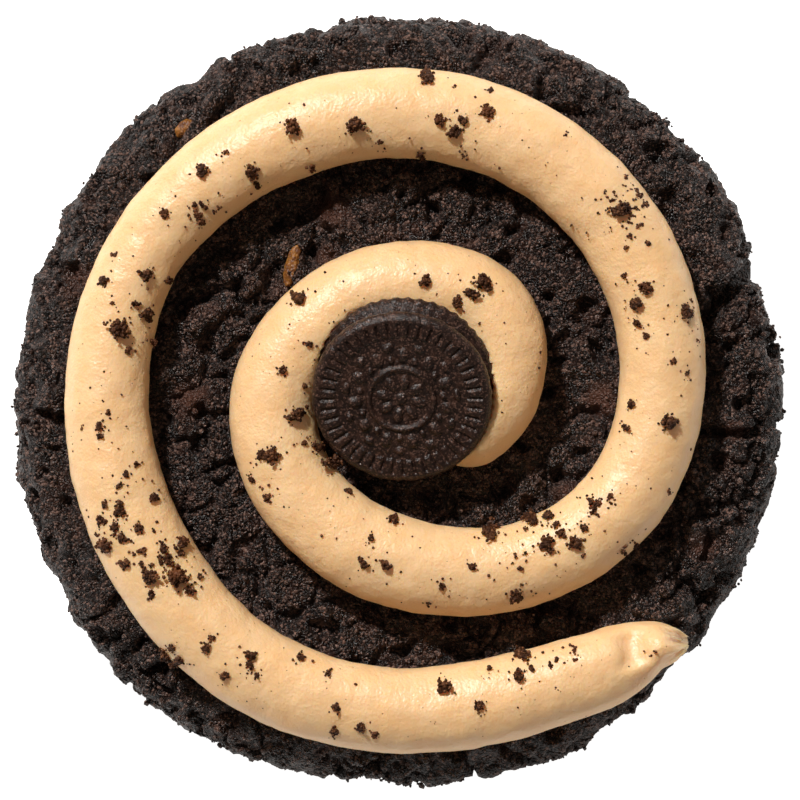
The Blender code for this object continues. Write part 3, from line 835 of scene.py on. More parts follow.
@dataclass
class BeadPath:
    """The centreline of the frosting bead, from the torn tail inwards, with its half-width."""

    knots: tuple[tuple[float, float, float], ...] = (
        (-40.35, 54.3, 1.0), (-41.8, 53.0, 2.5), (-44.0, 51.25, 3.75), (-46.2, 50.2, 4.45), (-49.6, 49.2, 5.35),
        (-55.0, 48.0, 5.85), (-61.0, 46.7, 6.0), (-71.6, 45.4, 6.3), (-90.0, 44.8, 6.2), (-120.0, 44.2, 6.4),
        (-150.0, 42.8, 6.6), (-180.0, 42.7, 6.2), (-210.0, 43.1, 5.75), (-240.0, 42.2, 6.45), (-270.0, 41.85, 6.6),
        (-300.0, 41.25, 6.45), (-330.0, 39.8, 6.35), (-360.0, 37.65, 6.25), (-385.0, 34.8, 6.2),
        (-410.0, 30.05, 6.2), (-435.0, 25.35, 6.5), (-460.0, 22.25, 6.8), (-490.0, 20.2, 6.5), (-540.0, 18.5, 6.35),
        (-585.0, 16.5, 6.45), (-630.0, 16.75, 6.5), (-675.0, 18.0, 6.5), (-705.0, 15.0, 6.4), (-740.0, 10.4, 6.1),
    )
    step: float = 0.42 * MM
    cap_steps: int = 14
    line: np.ndarray = field(init=False)
    width: np.ndarray = field(init=False)

    def __post_init__(self) -> None:
        """Lays the points along the bead, one step apart, and rounds its inner end."""
        turns = np.arange(self.knots[0][0], self.knots[-1][0], -0.1)
        radius = self.read(turns, 1)
        angle = np.radians(turns)
        line = np.stack([radius * np.cos(angle), radius * np.sin(angle)], axis=1)
        run = np.concatenate([[0.0], np.cumsum(np.linalg.norm(np.diff(line, axis=0), axis=1))])
        at = np.arange(0.0, run[-1], self.step)
        line = np.stack([np.interp(at, run, line[:, 0]), np.interp(at, run, line[:, 1])], axis=1)
        width = np.interp(at, run, self.read(turns, 2))
        along = line[-1] - line[-2]
        along /= np.linalg.norm(along)
        bend = np.linspace(0.0, math.pi / 2.0, self.cap_steps + 1)[1:]
        cap = line[-1] + along * (width[-1] * np.sin(bend))[:, None]
        self.line = np.concatenate([line, cap])
        self.width = np.concatenate([width, width[-1] * np.maximum(np.cos(bend), 0.02)])

    def read(self, turns: np.ndarray, column: int) -> np.ndarray:
        """Reads the knots on a smooth curve.

        Args:
            turns: Turns in degrees, falling inwards.
            column: 1 for the radius, 2 for the half-width.

        Returns:
            The values, in metres.
        """
        table = np.array(self.knots)
        at, values = -table[:, 0], table[:, column] * MM
        slope = np.empty(len(at))
        slope[1:-1] = (values[2:] - values[:-2]) / (at[2:] - at[:-2])
        slope[0] = (values[1] - values[0]) / (at[1] - at[0])
        slope[-1] = (values[-1] - values[-2]) / (at[-1] - at[-2])
        here = -np.asarray(turns, dtype=float)
        left = np.clip(np.searchsorted(at, here, side="right") - 1, 0, len(at) - 2)
        span = at[left + 1] - at[left]
        t = (here - at[left]) / span
        return (
            (2 * t**3 - 3 * t**2 + 1) * values[left]
            + (t**3 - 2 * t**2 + t) * span * slope[left]
            + (3 * t**2 - 2 * t**3) * values[left + 1]
            + (t**3 - t**2) * span * slope[left + 1]
        )

    def place(self, turn: float, across: float) -> np.ndarray:
        """A point on the bead, seen from above.

        Args:
            turn: The turn in degrees.
            across: From -1 at the inner edge to 1 at the outer edge.

        Returns:
            X and Y.
        """
        turns = np.array([turn])
        radius = self.read(turns, 1)[0] + across * self.read(turns, 2)[0]
        return np.array([radius * math.cos(math.radians(turn)), radius * math.sin(math.radians(turn))])

    def nearest(self, points: np.ndarray) -> tuple[np.ndarray, np.ndarray]:
        """How far points are from the centreline.

        Args:
            points: Places, of which X and Y count.

        Returns:
            The distances, and the bead's half-width beside each point.
        """
        away = np.empty(len(points))
        width = np.empty(len(points))
        line, widths = self.line[::2], self.width[::2]
        for start in range(0, len(points), 8000):
            part = points[start : start + 8000, :2]
            apart = np.linalg.norm(part[:, None] - line[None], axis=2)
            closest = apart.argmin(axis=1)
            away[start : start + 8000] = apart[np.arange(len(part)), closest]
            width[start : start + 8000] = widths[closest]
        return away, width


# ---------------------------------------------------------------- the cookie


@dataclass
class Cookie:
    """The dark cocoa cookie: its crust, the loose grain on it and the baked chips that show in it."""

    path: BeadPath
    biscuit: SandwichBiscuit
    radius: float = 56.0 * MM
    centre_height: float = 16.5 * MM
    crown_fall: float = 1.5 * MM
    shoulder_width: float = 8.0 * MM
    shoulder_drop: float = 7.0 * MM
    foot_inset: float = 3.2 * MM
    crown_share: float = 0.80
    grid: int = 258
    wall_rows: int = 22
    lobes: tuple[tuple[float, float, float], ...] = (
        (17, -0.9, 9), (36, 0.5, 15), (190, 0.5, 14), (229, 1.3, 20), (262, -0.7, 10), (301, 0.5, 9),
        (335, -0.8, 24),
    )
    rim_ripple: float = 0.5 * MM
    ripple_size: float = 6.4 * MM
    lump_size: float = 7.0 * MM
    lump_height: float = 1.3 * MM
    crag_size: float = 3.2 * MM
    crag_height: float = 1.0 * MM
    side_relief: float = 0.7
    press_blend: float = 2.2 * MM
    imprint: float = 0.25 * MM
    fissure_cell: float = 5.0 * MM
    fissure_depth: float = 1.7 * MM
    pit_size: float = 3.6 * MM
    pit_depth: float = 1.9 * MM
    pebble_size: float = 2.6 * MM
    pebble_height: float = 1.35 * MM
    fine_size: float = 1.15 * MM
    fine_height: float = 0.62 * MM
    wall_calm: float = 0.6
    top_blend: float = 4.0 * MM
    cracks: tuple[tuple[float, float, tuple[tuple[float, float], ...]], ...] = (
        (1.5, 3.6, ((52.1, 20.0), (48.8, 16.4), (46.4, 13.6), (44.2, 11.8))),
        (0.8, 2.4, ((43.8, -4.2), (47.8, -4.5), (50.6, -4.9), (53.8, -3.2), (57.1, -3.6))),
        (0.9, 2.2, ((-43.9, -37.6), (-38.9, -36.4), (-37.6, -34.8))),
        (1.1, 2.4, ((-37.0, -39.8), (-34.4, -38.6))),
        (0.9, 2.0, ((-25.0, 48.6), (-20.8, 48.9))),
        (0.9, 2.0, ((-16.8, 47.8), (-11.6, 50.2))),
        (0.7, 1.6, ((-10.0, 52.2), (-6.6, 54.0))),
        (1.0, 2.0, ((22.8, 41.9), (29.0, 42.2))),
        (0.6, 1.6, ((39.4, 39.8), (44.5, 34.0))),
    )
    chips: tuple[tuple[float, float, float, float, float], ...] = (
        (-31.4, 39.8, 3.3, 2.2, 35.0),
        (-15.9, 19.7, 6.2, 2.1, 76.0),
    )
    warm_spots: tuple[tuple[float, float, float], ...] = (
        (-10.3, 27.9, 2.6), (-10.7, 21.0, 1.8), (-30.8, 0.3, 2.6), (29.0, 0.3, 2.4), (24.6, -14.3, 2.6),
        (48.6, -4.1, 1.5), (43.6, -20.9, 2.0), (-37.5, 26.4, 1.6), (-46.9, 18.0, 1.8),
    )
    chip_sink: float = 0.65 * MM
    grain_count: int = 15_000
    grain_width: float = 0.28 * MM
    grain_spread: float = 0.36 * MM
    crumb_count: int = 9600
    crumb_group: int = 3
    crumb_width: float = 0.48 * MM
    crumb_spread: float = 0.85 * MM
    seed: int = 5

    @property
    def girth_middle(self) -> float:
        """Height of the widest girth before its waves."""
        return self.centre_height - self.crown_fall - self.shoulder_drop

    def rim(self, angle: np.ndarray) -> np.ndarray:
        """Widest radius of the cookie.

        Args:
            angle: Directions in radians.

        Returns:
            The radius in each direction.
        """
        radius = np.full(len(angle), self.radius)
        for centre, size, half_width in self.lobes:
            away = (np.degrees(angle) - centre + 180.0) % 360.0 - 180.0
            radius += size * MM * np.exp(-((away / half_width) ** 2))
        around = np.stack([np.cos(angle), np.sin(angle)], axis=1) * self.radius / self.ripple_size
        ripple = [blender_noise.noise((x, y, 0.0)) for x, y in around.tolist()]
        return radius + self.rim_ripple * np.array(ripple)

    def top(self, x: np.ndarray, y: np.ndarray) -> np.ndarray:
        """Height of the cookie's top before its relief.

        Args:
            x: X of each place.
            y: Y of each place.

        Returns:
            The heights.
        """
        radius, reach = np.hypot(x, y), self.rim(np.arctan2(y, x))
        share = np.clip((radius - reach + self.shoulder_width) / self.shoulder_width, 0.0, 1.0)
        drop = self.shoulder_drop * (1.0 - np.sqrt(1.0 - share * share))
        return self.centre_height - self.crown_fall * (radius / reach) ** 2 - drop

    def girth(self, angle: np.ndarray) -> np.ndarray:
        """Height of the widest girth.

        Args:
            angle: Directions in radians.

        Returns:
            The height in each direction.
        """
        around = np.stack([np.cos(angle), np.sin(angle)], axis=1) * 3.0
        wave = [blender_noise.noise((x, y, 12.0)) for x, y in around.tolist()]
        return self.girth_middle + 0.6 * MM * np.array(wave)

    def _crown(self) -> tuple[np.ndarray, np.ndarray]:
        """Wraps a square grid over the top.

        Returns:
            The grid's places, and the direction of each in radians.
        """
        side = np.linspace(-1.0, 1.0, self.grid + 1)
        u, v = (part.ravel() for part in np.meshgrid(side, side, indexing="ij"))
        wide = np.abs(u) >= np.abs(v)
        safe_u, safe_v = np.where(u == 0.0, 1.0, u), np.where(v == 0.0, 1.0, v)
        angle = np.where(
            wide,
            math.pi / 4.0 * v / safe_u + np.where(u < 0.0, math.pi, 0.0),
            math.pi / 2.0 - math.pi / 4.0 * u / safe_v + np.where(v < 0.0, math.pi, 0.0),
        )
        share = np.maximum(np.abs(u), np.abs(v))
        reach = self.rim(angle)
        flat = reach - self.shoulder_width
        bend = math.pi / 2.0 * np.clip((share - self.crown_share) / (1.0 - self.crown_share), 0.0, 1.0)
        shoulder = flat + self.shoulder_width * np.sin(bend)
        radius = np.where(share <= self.crown_share, flat * share / self.crown_share, shoulder)
        x, y = radius * np.cos(angle), radius * np.sin(angle)
        z = np.where(share > 0.9999, self.girth(angle), self.top(x, y))
        return np.stack([x, y, z], axis=1), angle

    def _edge_numbers(self) -> np.ndarray:
        """Vertex numbers round the grid's edge, anticlockwise from above."""
        n = self.grid
        east = [n * (n + 1) + j for j in range(n)]
        north = [i * (n + 1) + n for i in range(n, 0, -1)]
        west = [j for j in range(n, 0, -1)]
        south = [i * (n + 1) for i in range(n)]
        return np.array(east + north + west + south)

    def _wall(self, share: float, angle: np.ndarray) -> np.ndarray:
        """One row of the side wall.

        Args:
            share: 0 at the girth and 1 at the flat underside.
            angle: Directions in radians.

        Returns:
            The row's places.
        """
        radius = self.rim(angle) - self.foot_inset * share**3
        height = self.girth(angle) * (1.0 - share)
        return np.stack([radius * np.cos(angle), radius * np.sin(angle), height], axis=1)

    def crack_depth(self, places: np.ndarray, noise: Noise) -> np.ndarray:
        """How deep the cracks cut.

        Args:
            places: Places on the crust.
            noise: Makes their edges ragged.

        Returns:
            The depth at each place.
        """
        flat = places * np.array([1.0, 1.0, 0.0])
        wander = np.stack([noise.waves(flat + shift * MM, 1.7 * MM) for shift in (0.0, 40.0)], axis=1)
        flat = places[:, :2] + 0.55 * MM * wander
        depth = np.zeros(len(places))
        for half_width, full_depth, points in self.cracks:
            for start, end in zip(points, points[1:]):
                first = np.array(start) * MM
                along = np.array(end) * MM - first
                share = np.clip((flat - first) @ along / (along @ along), 0.0, 1.0)
                away = np.linalg.norm(flat - first - share[:, None] * along, axis=1)
                cut = 1.0 - smooth_step(away, 0.45 * half_width * MM, 1.25 * half_width * MM)
                depth = np.maximum(depth, full_depth * MM * cut)
        return depth

    def relief(self, places: np.ndarray, noise: Noise) -> np.ndarray:
        """Lumps, fissures, pebbles and grain of the crust.

        Args:
            places: Places on the smooth form.
            noise: Source of the relief.

        Returns:
            The outward shift at each place.
        """
        lumps = self.solid_relief(places)
        grown = places + 1.2 * MM * noise.waves(places + 2.0, 4.0 * MM)[:, None]
        nearest, second = noise.cells(grown, self.fissure_cell)
        open_here = smooth_step(noise.waves(places + 3.0, 11.0 * MM), -0.2, 0.3)
        fissure = self.fissure_depth * open_here * np.exp(-(((second - nearest) / 0.10) ** 2))
        pit = self.pit_depth * smooth_step(noise.waves(places + 8.0, self.pit_size), 0.22, 0.50)
        nearest, _ = noise.cells(places + 4.0, self.pebble_size)
        pebble = self.pebble_height * (0.5 - nearest) * smooth_step(noise.waves(places + 5.0, 7.0 * MM), -0.5, 0.4)
        nearest, _ = noise.cells(places + 6.0, self.fine_size)
        fine = self.fine_height * (0.5 - nearest) + 0.12 * MM * noise.waves(places + 7.0, 0.8 * MM)
        calm = self.wall_calm + (1.0 - self.wall_calm) * self.on_top(places)
        return lumps - fissure - pit + calm * (pebble + fine)

    def on_top(self, places: np.ndarray) -> np.ndarray:
        """How far each place belongs to the top: 0 on the side wall and 1 above the girth."""
        return smooth_step(places[:, 2], self.girth_middle, self.girth_middle + self.top_blend)

    def solid_relief(self, places: np.ndarray) -> np.ndarray:
        """Large lumps and crags, which the cookie's solid has too.

        Args:
            places: Places on the smooth form.

        Returns:
            The outward shift at each place.
        """
        lumps = read_noise(places / self.lump_size, (3.0, 8.0, 1.0))
        crags = read_noise(places / self.crag_size, (9.0, 2.0, 5.0))
        side = self.lump_height * lumps + self.crag_height * crags
        flat = places * np.array([1.0, 1.0, 0.0])
        lumps = read_noise(flat / self.lump_size, (3.0, 8.0, 1.0))
        crags = read_noise(flat / self.crag_size, (9.0, 2.0, 5.0))
        on_top = self.on_top(places)
        above = self.lump_height * lumps + self.crag_height * crags
        return above * on_top + self.side_relief * side * (1.0 - on_top)

    def mark_warmth(self, piece: bpy.types.Object) -> None:
        """Marks where the crust turns reddish brown.

        Args:
            piece: A piece of the crust.
        """
        places = vertex_places(piece.data)
        warmth = np.zeros(len(places))
        for x, y, reach in self.warm_spots:
            away = np.hypot(places[:, 0] - x * MM, places[:, 1] - y * MM)
            warmth = np.maximum(warmth, np.exp(-((away / (reach * MM)) ** 4)))
        shade_attribute(piece.data, "warmth", warmth)

    def build_crust(self, noise: Noise) -> bpy.types.Object:
        """Makes the crust.

        Args:
            noise: Source of the relief.

        Returns:
            The closed crust.
        """
        crown, angle = self._crown()
        edge = self._edge_numbers()
        shares = np.linspace(0.0, 1.0, self.wall_rows + 1)[1:]
        rows = [self._wall(share, angle[edge]) for share in shares]
        places = np.concatenate([crown, *rows, np.zeros((1, 3))])
        n, around = self.grid, len(edge)
        corner = (np.arange(n)[:, None] * (n + 1) + np.arange(n)[None]).ravel()
        faces = np.stack([corner, corner + n + 1, corner + n + 2, corner + 1], axis=1).tolist()
        above = edge
        for row in range(len(rows)):
            below = len(crown) + row * around + np.arange(around)
            faces += np.stack([above, below, np.roll(below, -1), np.roll(above, -1)], axis=1).tolist()
            above = below
        faces += [(len(places) - 1, int(b), int(a)) for a, b in zip(above, np.roll(above, -1))]
        crust = mesh_object("cookie_crust", places, faces)
        normals = vertex_normals(crust.data)
        away, width = self.path.nearest(places)
        above_girth = smooth_step(places[:, 2], 9.0 * MM, 13.0 * MM)
        pressed = 1.0 - smooth_step(away - width, -1.2 * MM, 0.6 * MM)
        from_biscuit = np.hypot(*(places[:, :2] - np.array(self.biscuit.centre[:2])).T) - self.biscuit.radius
        pressed = np.maximum(pressed, 1.0 - smooth_step(from_biscuit, 0.0, self.press_blend)) * above_girth
        foot = smooth_step(places[:, 2], 0.0, 3.0 * MM)
        shift = self.relief(places, noise) * foot * (1.0 - pressed) - self.imprint * pressed
        shift -= self.crack_depth(places, noise) * (1.0 - pressed) * smooth_step(places[:, 2], 2.0 * MM, 9.0 * MM)
        moved = places + normals * shift[:, None]
        moved[:, 2] = np.maximum(moved[:, 2], 0.0)
        move_vertices(crust.data, moved)
        return crust

    def _surface_spots(
        self, crust: bpy.types.Object, count: int, draw: np.random.Generator
    ) -> tuple[np.ndarray, np.ndarray]:
        """Draws spots on the crust where it isn't covered by frosting and doesn't face down.

        Args:
            crust: The finished crust.
            count: How many spots.
            draw: Seeded source of random numbers.

        Returns:
            The spots, and the crust's normals there.
        """
        places, normals = vertex_places(crust.data), vertex_normals(crust.data)
        away, width = self.path.nearest(places)
        covered = (away < width - 1.5 * MM) & (places[:, 2] > 12.0 * MM)
        middle = np.hypot(places[:, 0], places[:, 1]) < 6.0 * MM
        open_to_view = ~covered & ~middle & (places[:, 2] > 0.6 * MM)
        crowd = np.where(places[:, 2] < 6.0 * MM, 0.5, 1.0)
        weight = open_to_view * crowd
        spots = draw.choice(len(places), size=count, p=weight / weight.sum())
        return places[spots], normals[spots]

    @staticmethod
    def _strew(
        spots: np.ndarray, normals: np.ndarray, spread: float, lift: np.ndarray, draw: np.random.Generator
    ) -> np.ndarray:
        """Strews places along the surface round the spots.

        Args:
            spots: Places on the crust.
            normals: The crust's normals there.
            spread: How far they stray.
            lift: How far out of the surface each one is.
            draw: Seeded source of random numbers.

        Returns:
            The strewn places.
        """
        shift = draw.normal(scale=spread, size=spots.shape)
        shift -= normals * np.sum(shift * normals, axis=1, keepdims=True)
        return spots + shift + normals * lift[:, None]

    def build_grain(self, crust: bpy.types.Object) -> bpy.types.Object:
        """Makes the fine loose grain on the crust.

        Args:
            crust: The finished crust.

        Returns:
            The joined grain.
        """
        draw = np.random.default_rng(self.seed + 1)
        spots, normals = self._surface_spots(crust, self.grain_count, draw)
        widths = self.grain_width + self.grain_spread * draw.random(self.grain_count) ** 2
        lift = draw.uniform(-0.25, 0.12, self.grain_count) - 0.25 * np.clip(1.0 - normals[:, 2], 0.0, 1.0)
        centres = self._strew(spots, normals, 0.2 * MM, widths * lift, draw)
        return grain_cloud("cookie_grain", Grain.CRYSTAL, centres, widths, draw, 0.3)

    def build_crumbs(self, crust: bpy.types.Object) -> bpy.types.Object:
        """Makes the coarser crumbs that stick to the crust in small groups.

        Args:
            crust: The finished crust.

        Returns:
            The joined crumbs.
        """
        draw = np.random.default_rng(self.seed + 2)
        spots, normals = self._surface_spots(crust, self.crumb_count // self.crumb_group, draw)
        spots, normals = (np.repeat(part, self.crumb_group, axis=0) for part in (spots, normals))
        widths = self.crumb_width + self.crumb_spread * draw.random(len(spots)) ** 3.5
        sunk = 0.06 + 0.42 * np.clip(1.0 - normals[:, 2], 0.0, 1.0)
        centres = self._strew(spots, normals, 0.45 * MM, -sunk * widths, draw)
        return grain_cloud("cookie_crumbs", Grain.PEBBLE, centres, widths, draw, 0.25)

    def build_chips(self, noise: Noise) -> bpy.types.Object:
        """Makes the baked chips that show in the crust.

        Args:
            noise: Makes them uneven.

        Returns:
            The joined chips.
        """
        bm = bmesh.new()
        for x, y, length, width, heading in self.chips:
            made = bmesh.ops.create_icosphere(bm, subdivisions=4, radius=0.5 * MM)["verts"]
            turn = Matrix.Rotation(math.radians(heading), 3, "Z")
            height = self.top(np.array([x * MM]), np.array([y * MM]))[0]
            for vert in made:
                vert.co = turn @ Vector((vert.co.x * length, vert.co.y * width, vert.co.z * width * 0.8))
                vert.co += Vector((x * MM, y * MM, height - self.chip_sink))
        mesh = bpy.data.meshes.new("baked_chips")
        bm.to_mesh(mesh)
        bm.free()
        mesh.polygons.foreach_set("use_smooth", np.full(len(mesh.polygons), True))
        places, normals = vertex_places(mesh), vertex_normals(mesh)
        shift = 0.30 * MM * noise.waves(places, 1.1 * MM) + 0.12 * MM * noise.waves(places, 0.5 * MM)
        move_vertices(mesh, places + normals * shift[:, None])
        return add_object("baked_chips", mesh)

    def build(self, groups: NodeGroups, noise: Noise) -> list[bpy.types.Object]:
        """Makes and dresses every piece of the cookie.

        Args:
            groups: The shared shader groups.
            noise: Source of the relief.

        Returns:
            The pieces.
        """
        crust = self.build_crust(noise)
        crust.data.materials.append(CRUST.material(groups))
        grain_material = CRUST_GRAIN.material(groups)
        grain, crumbs = self.build_grain(crust), self.build_crumbs(crust)
        grain.data.materials.append(grain_material)
        crumbs.data.materials.append(grain_material)
        chips = self.build_chips(noise)
        chips.data.materials.append(CHIP.material(groups))
        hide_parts("cookie")
        for piece in (crust, grain, crumbs, chips):
            self.mark_warmth(piece)
        return [crust, grain, crumbs, chips]


# ---------------------------------------------------------------- the sandwich biscuit


@dataclass
class SandwichBiscuit:
    """The small biscuit in the eye of the spiral: two embossed wafers with cream between them."""

    radius: float = 13.1 * MM
    thickness: float = 2.2 * MM
    edge: float = 1.3 * MM
    cream_radius: float = 11.6 * MM
    cream_thickness: float = 2.0 * MM
    centre: Vector = field(default_factory=lambda: Vector((0.2, 1.5, 24.4)) * MM)
    lean: float = math.radians(22.0)
    turn: float = math.radians(-11.0)
    slip: float = 0.75 * MM
    ridges: int = 44
    ridge_inner: float = 9.5 * MM
    ridge_blend: float = 0.4 * MM
    ridge_depth: float = 0.5 * MM
    field_depth: float = 0.35 * MM
    emboss_height: float = 0.62 * MM
    boss_radius: float = 1.0 * MM
    marks: tuple[tuple[int, float, float, float, bool], ...] = (
        (8, 2.6, 1.25, 0.8, False),
        (11, 6.75, 1.2, 0.9, False),
        (11, 6.1, 0.6, 0.55, True),
        (11, 8.1, 0.65, 0.9, True),
    )
    ring_radius: float = 4.7 * MM
    ring_width: float = 0.5 * MM
    rim_notch: float = 0.06 * MM
    lower_rim_notch: float = 0.22 * MM
    rings: int = 118
    hidden_rings: int = 40
    steps: int = 440
    cream_steps: int = 180

    @property
    def ridge_outer(self) -> float:
        """Radius at which the rim begins to round off."""
        return self.radius - self.edge

    @property
    def half(self) -> float:
        """Half of the whole thickness."""
        return self.thickness + self.cream_thickness / 2.0

    @property
    def matrix(self) -> Matrix:
        """Place and lean of the biscuit: its own +Z is the way its embossed face looks."""
        turned = Matrix.Rotation(self.turn, 4, "Z") @ Matrix.Rotation(self.lean, 4, "X")
        return Matrix.Translation(self.centre) @ turned

    def emboss(self, radius: np.ndarray, angle: np.ndarray) -> np.ndarray:
        """Height of the pressed pattern.

        A flower sits in the middle. Round it run a raised ring, leaves with beads between them, and the ridges.

        Args:
            radius: Distance from the middle.
            angle: Direction in radians.

        Returns:
            The height over the plain face.
        """
        pattern = np.maximum(hump(radius, self.boss_radius), hump(radius - self.ring_radius, self.ring_width))
        for count, at, half_length, half_width, turned_half in self.marks:
            slot = math.tau / count
            local = (angle + (slot if turned_half else slot / 2.0)) % slot - slot / 2.0
            out = (radius * np.cos(local) - at * MM) / (half_length * MM)
            side = radius * np.sin(local) / (half_width * MM)
            pattern = np.maximum(pattern, hump(np.hypot(out, side), 1.0))
        from_crest = 1.0 - 2.0 * np.abs((self.ridges * angle / math.tau) % 1.0 - 0.5)
        crest = 1.0 - smooth_step(from_crest, 0.45, 1.0)
        ends = smooth_step(radius, self.ridge_inner - 0.15 * MM, self.ridge_inner + self.ridge_blend)
        border = smooth_step(radius, self.ridge_outer - 0.25 * MM, self.ridge_outer + 0.35 * MM)
        face = -self.field_depth + self.emboss_height * pattern * (radius < self.ridge_inner)
        ridged = -self.ridge_depth * (1.0 - crest)
        return (face * (1.0 - ends) + ridged * ends) * (1.0 - border)

    def build_wafer(self, name: str, upper: bool, noise: Noise) -> bpy.types.Object:
        """Makes one wafer, back down on the cream and face out.

        Args:
            name: The piece's name.
            upper: Whether it is the upper wafer, whose face shows.
            noise: Source of its fine unevenness.

        Returns:
            The closed wafer.
        """
        inner = np.linspace(0.0, self.ridge_outer, self.rings if upper else self.hidden_rings)[1:]
        bend = np.linspace(0.0, math.pi / 2.0, 9)[1:]
        rim_radius = self.ridge_outer + self.edge * np.sin(bend)
        rim_height = self.thickness - self.edge * (1.0 - np.cos(bend))
        under = np.linspace(0.0, 1.0, 6)[1:]
        radii = np.concatenate([inner, rim_radius, self.radius - 0.45 * MM * under**2, [self.radius * 0.5]])
        heights = np.concatenate(
            [np.full(len(inner), self.thickness), rim_height, (self.thickness - self.edge) * (1.0 - under), [0.0]]
        )
        angle = np.arange(self.steps) * math.tau / self.steps
        ring_r, ring_a = np.meshgrid(radii, angle, indexing="ij")
        height = np.repeat(heights, self.steps).reshape(ring_r.shape)
        face = smooth_step(height, self.thickness - 0.8 * MM, self.thickness - 0.3 * MM)
        on_side = (ring_r > self.ridge_outer) & (height > 0.0)
        deepest = self.rim_notch if upper else self.lower_rim_notch
        notch = deepest * (0.5 - 0.5 * np.cos(self.ridges * ring_a)) * on_side
        shape_r = ring_r - notch
        x, y = shape_r * np.cos(ring_a), shape_r * np.sin(ring_a)
        flat = np.stack([x.ravel(), y.ravel(), height.ravel() + (0.0 if upper else 31.0 * MM)], axis=1)
        worn = 0.8 + 0.35 * noise.waves(flat, 3.2 * MM)
        pattern = self.emboss(ring_r.ravel(), ring_a.ravel())
        grit, _ = noise.cells(flat, 0.45 * MM)
        fine = 0.07 * MM * noise.waves(flat, 0.9 * MM) + 0.09 * MM * (0.5 - grit)
        fine += 0.10 * MM * noise.waves(flat, 2.6 * MM)
        inside_rim = smooth_step(self.ridge_outer - ring_r.ravel(), -0.2 * MM, 0.6 * MM)
        z = height.ravel() + face.ravel() * (pattern * worn + fine * (0.35 + 0.65 * inside_rim))
        outward = np.where(on_side.ravel(), fine * 1.1, 0.0)
        places = np.stack(
            [x.ravel() + outward * np.cos(ring_a.ravel()), y.ravel() + outward * np.sin(ring_a.ravel()), z], axis=1
        )
        middle = np.array([[0.0, 0.0, self.thickness + self.emboss_height - self.field_depth], [0.0, 0.0, 0.0]])
        places = np.concatenate([places, middle])
        faces = tube_faces(len(radii), self.steps)
        top, bottom = len(places) - 2, len(places) - 1
        last = (len(radii) - 1) * self.steps
        for side in range(self.steps):
            after = (side + 1) % self.steps
            faces.append((top, side, after))
            faces.append((bottom, last + after, last + side))
        wafer = mesh_object(name, places, faces)
        if upper:
            wafer.matrix_world = self.matrix @ Matrix.Translation((0.0, 0.0, self.cream_thickness / 2.0))
        else:
            flip = Matrix.Rotation(math.pi, 4, "X")
            wafer.matrix_world = self.matrix @ Matrix.Translation((0.0, self.slip, -self.cream_thickness / 2.0)) @ flip
        turn_faces_out(wafer.data)
        return wafer

    def build_cream(self, noise: Noise) -> bpy.types.Object:
        """Makes the cream layer with its softly bulged edge.

        Args:
            noise: Makes its edge uneven.

        Returns:
            The closed cream.
        """
        half = self.cream_thickness / 2.0 - 0.02 * MM
        bend = np.linspace(-math.pi / 2.0, math.pi / 2.0, 11)
        steps = self.cream_steps
        radii = self.cream_radius - 0.5 * MM + 0.5 * MM * np.cos(bend)
        angle = np.arange(steps) * math.tau / steps
        ring_r, ring_a = np.meshgrid(radii, angle, indexing="ij")
        z = np.repeat(half * np.sin(bend), steps)
        flat = np.stack([(ring_r * np.cos(ring_a)).ravel(), (ring_r * np.sin(ring_a)).ravel(), z], axis=1)
        grow = 1.0 + 0.02 * noise.waves(flat, 4.0 * MM) + 0.006 * noise.waves(flat, 1.0 * MM)
        bulged = flat * np.stack([grow, grow, np.ones(len(grow))], axis=1)
        places = np.concatenate([bulged, [[0, 0, -half], [0, 0, half]]])
        faces = tube_faces(len(radii), steps)
        last = (len(radii) - 1) * steps
        for side in range(steps):
            after = (side + 1) % steps
            faces.append((len(places) - 2, after, side))
            faces.append((len(places) - 1, last + side, last + after))
        cream = mesh_object("biscuit_cream_layer", places, faces)
        cream.matrix_world = self.matrix @ Matrix.Translation((0.0, self.slip / 2.0, 0.0))
        return cream

    def build(self, groups: NodeGroups, noise: Noise) -> list[bpy.types.Object]:
        """Makes and dresses the biscuit.

        Args:
            groups: The shared shader groups.
            noise: Source of its fine unevenness.

        Returns:
            The pieces.
        """
        material = WAFER.material(groups)
        upper = self.build_wafer("upper_wafer", True, noise)
        lower = self.build_wafer("lower_wafer", False, noise)
        cream = self.build_cream(noise)
        for wafer, node in ((upper, "biscuit_top_wafer"), (lower, "biscuit_bottom_wafer")):
            wafer.data.materials.append(material)
            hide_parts(node)
        cream.data.materials.append(CREAM.material(groups))
        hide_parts("biscuit_cream")
        return [upper, lower, cream]


# ---------------------------------------------------------------- the frosting


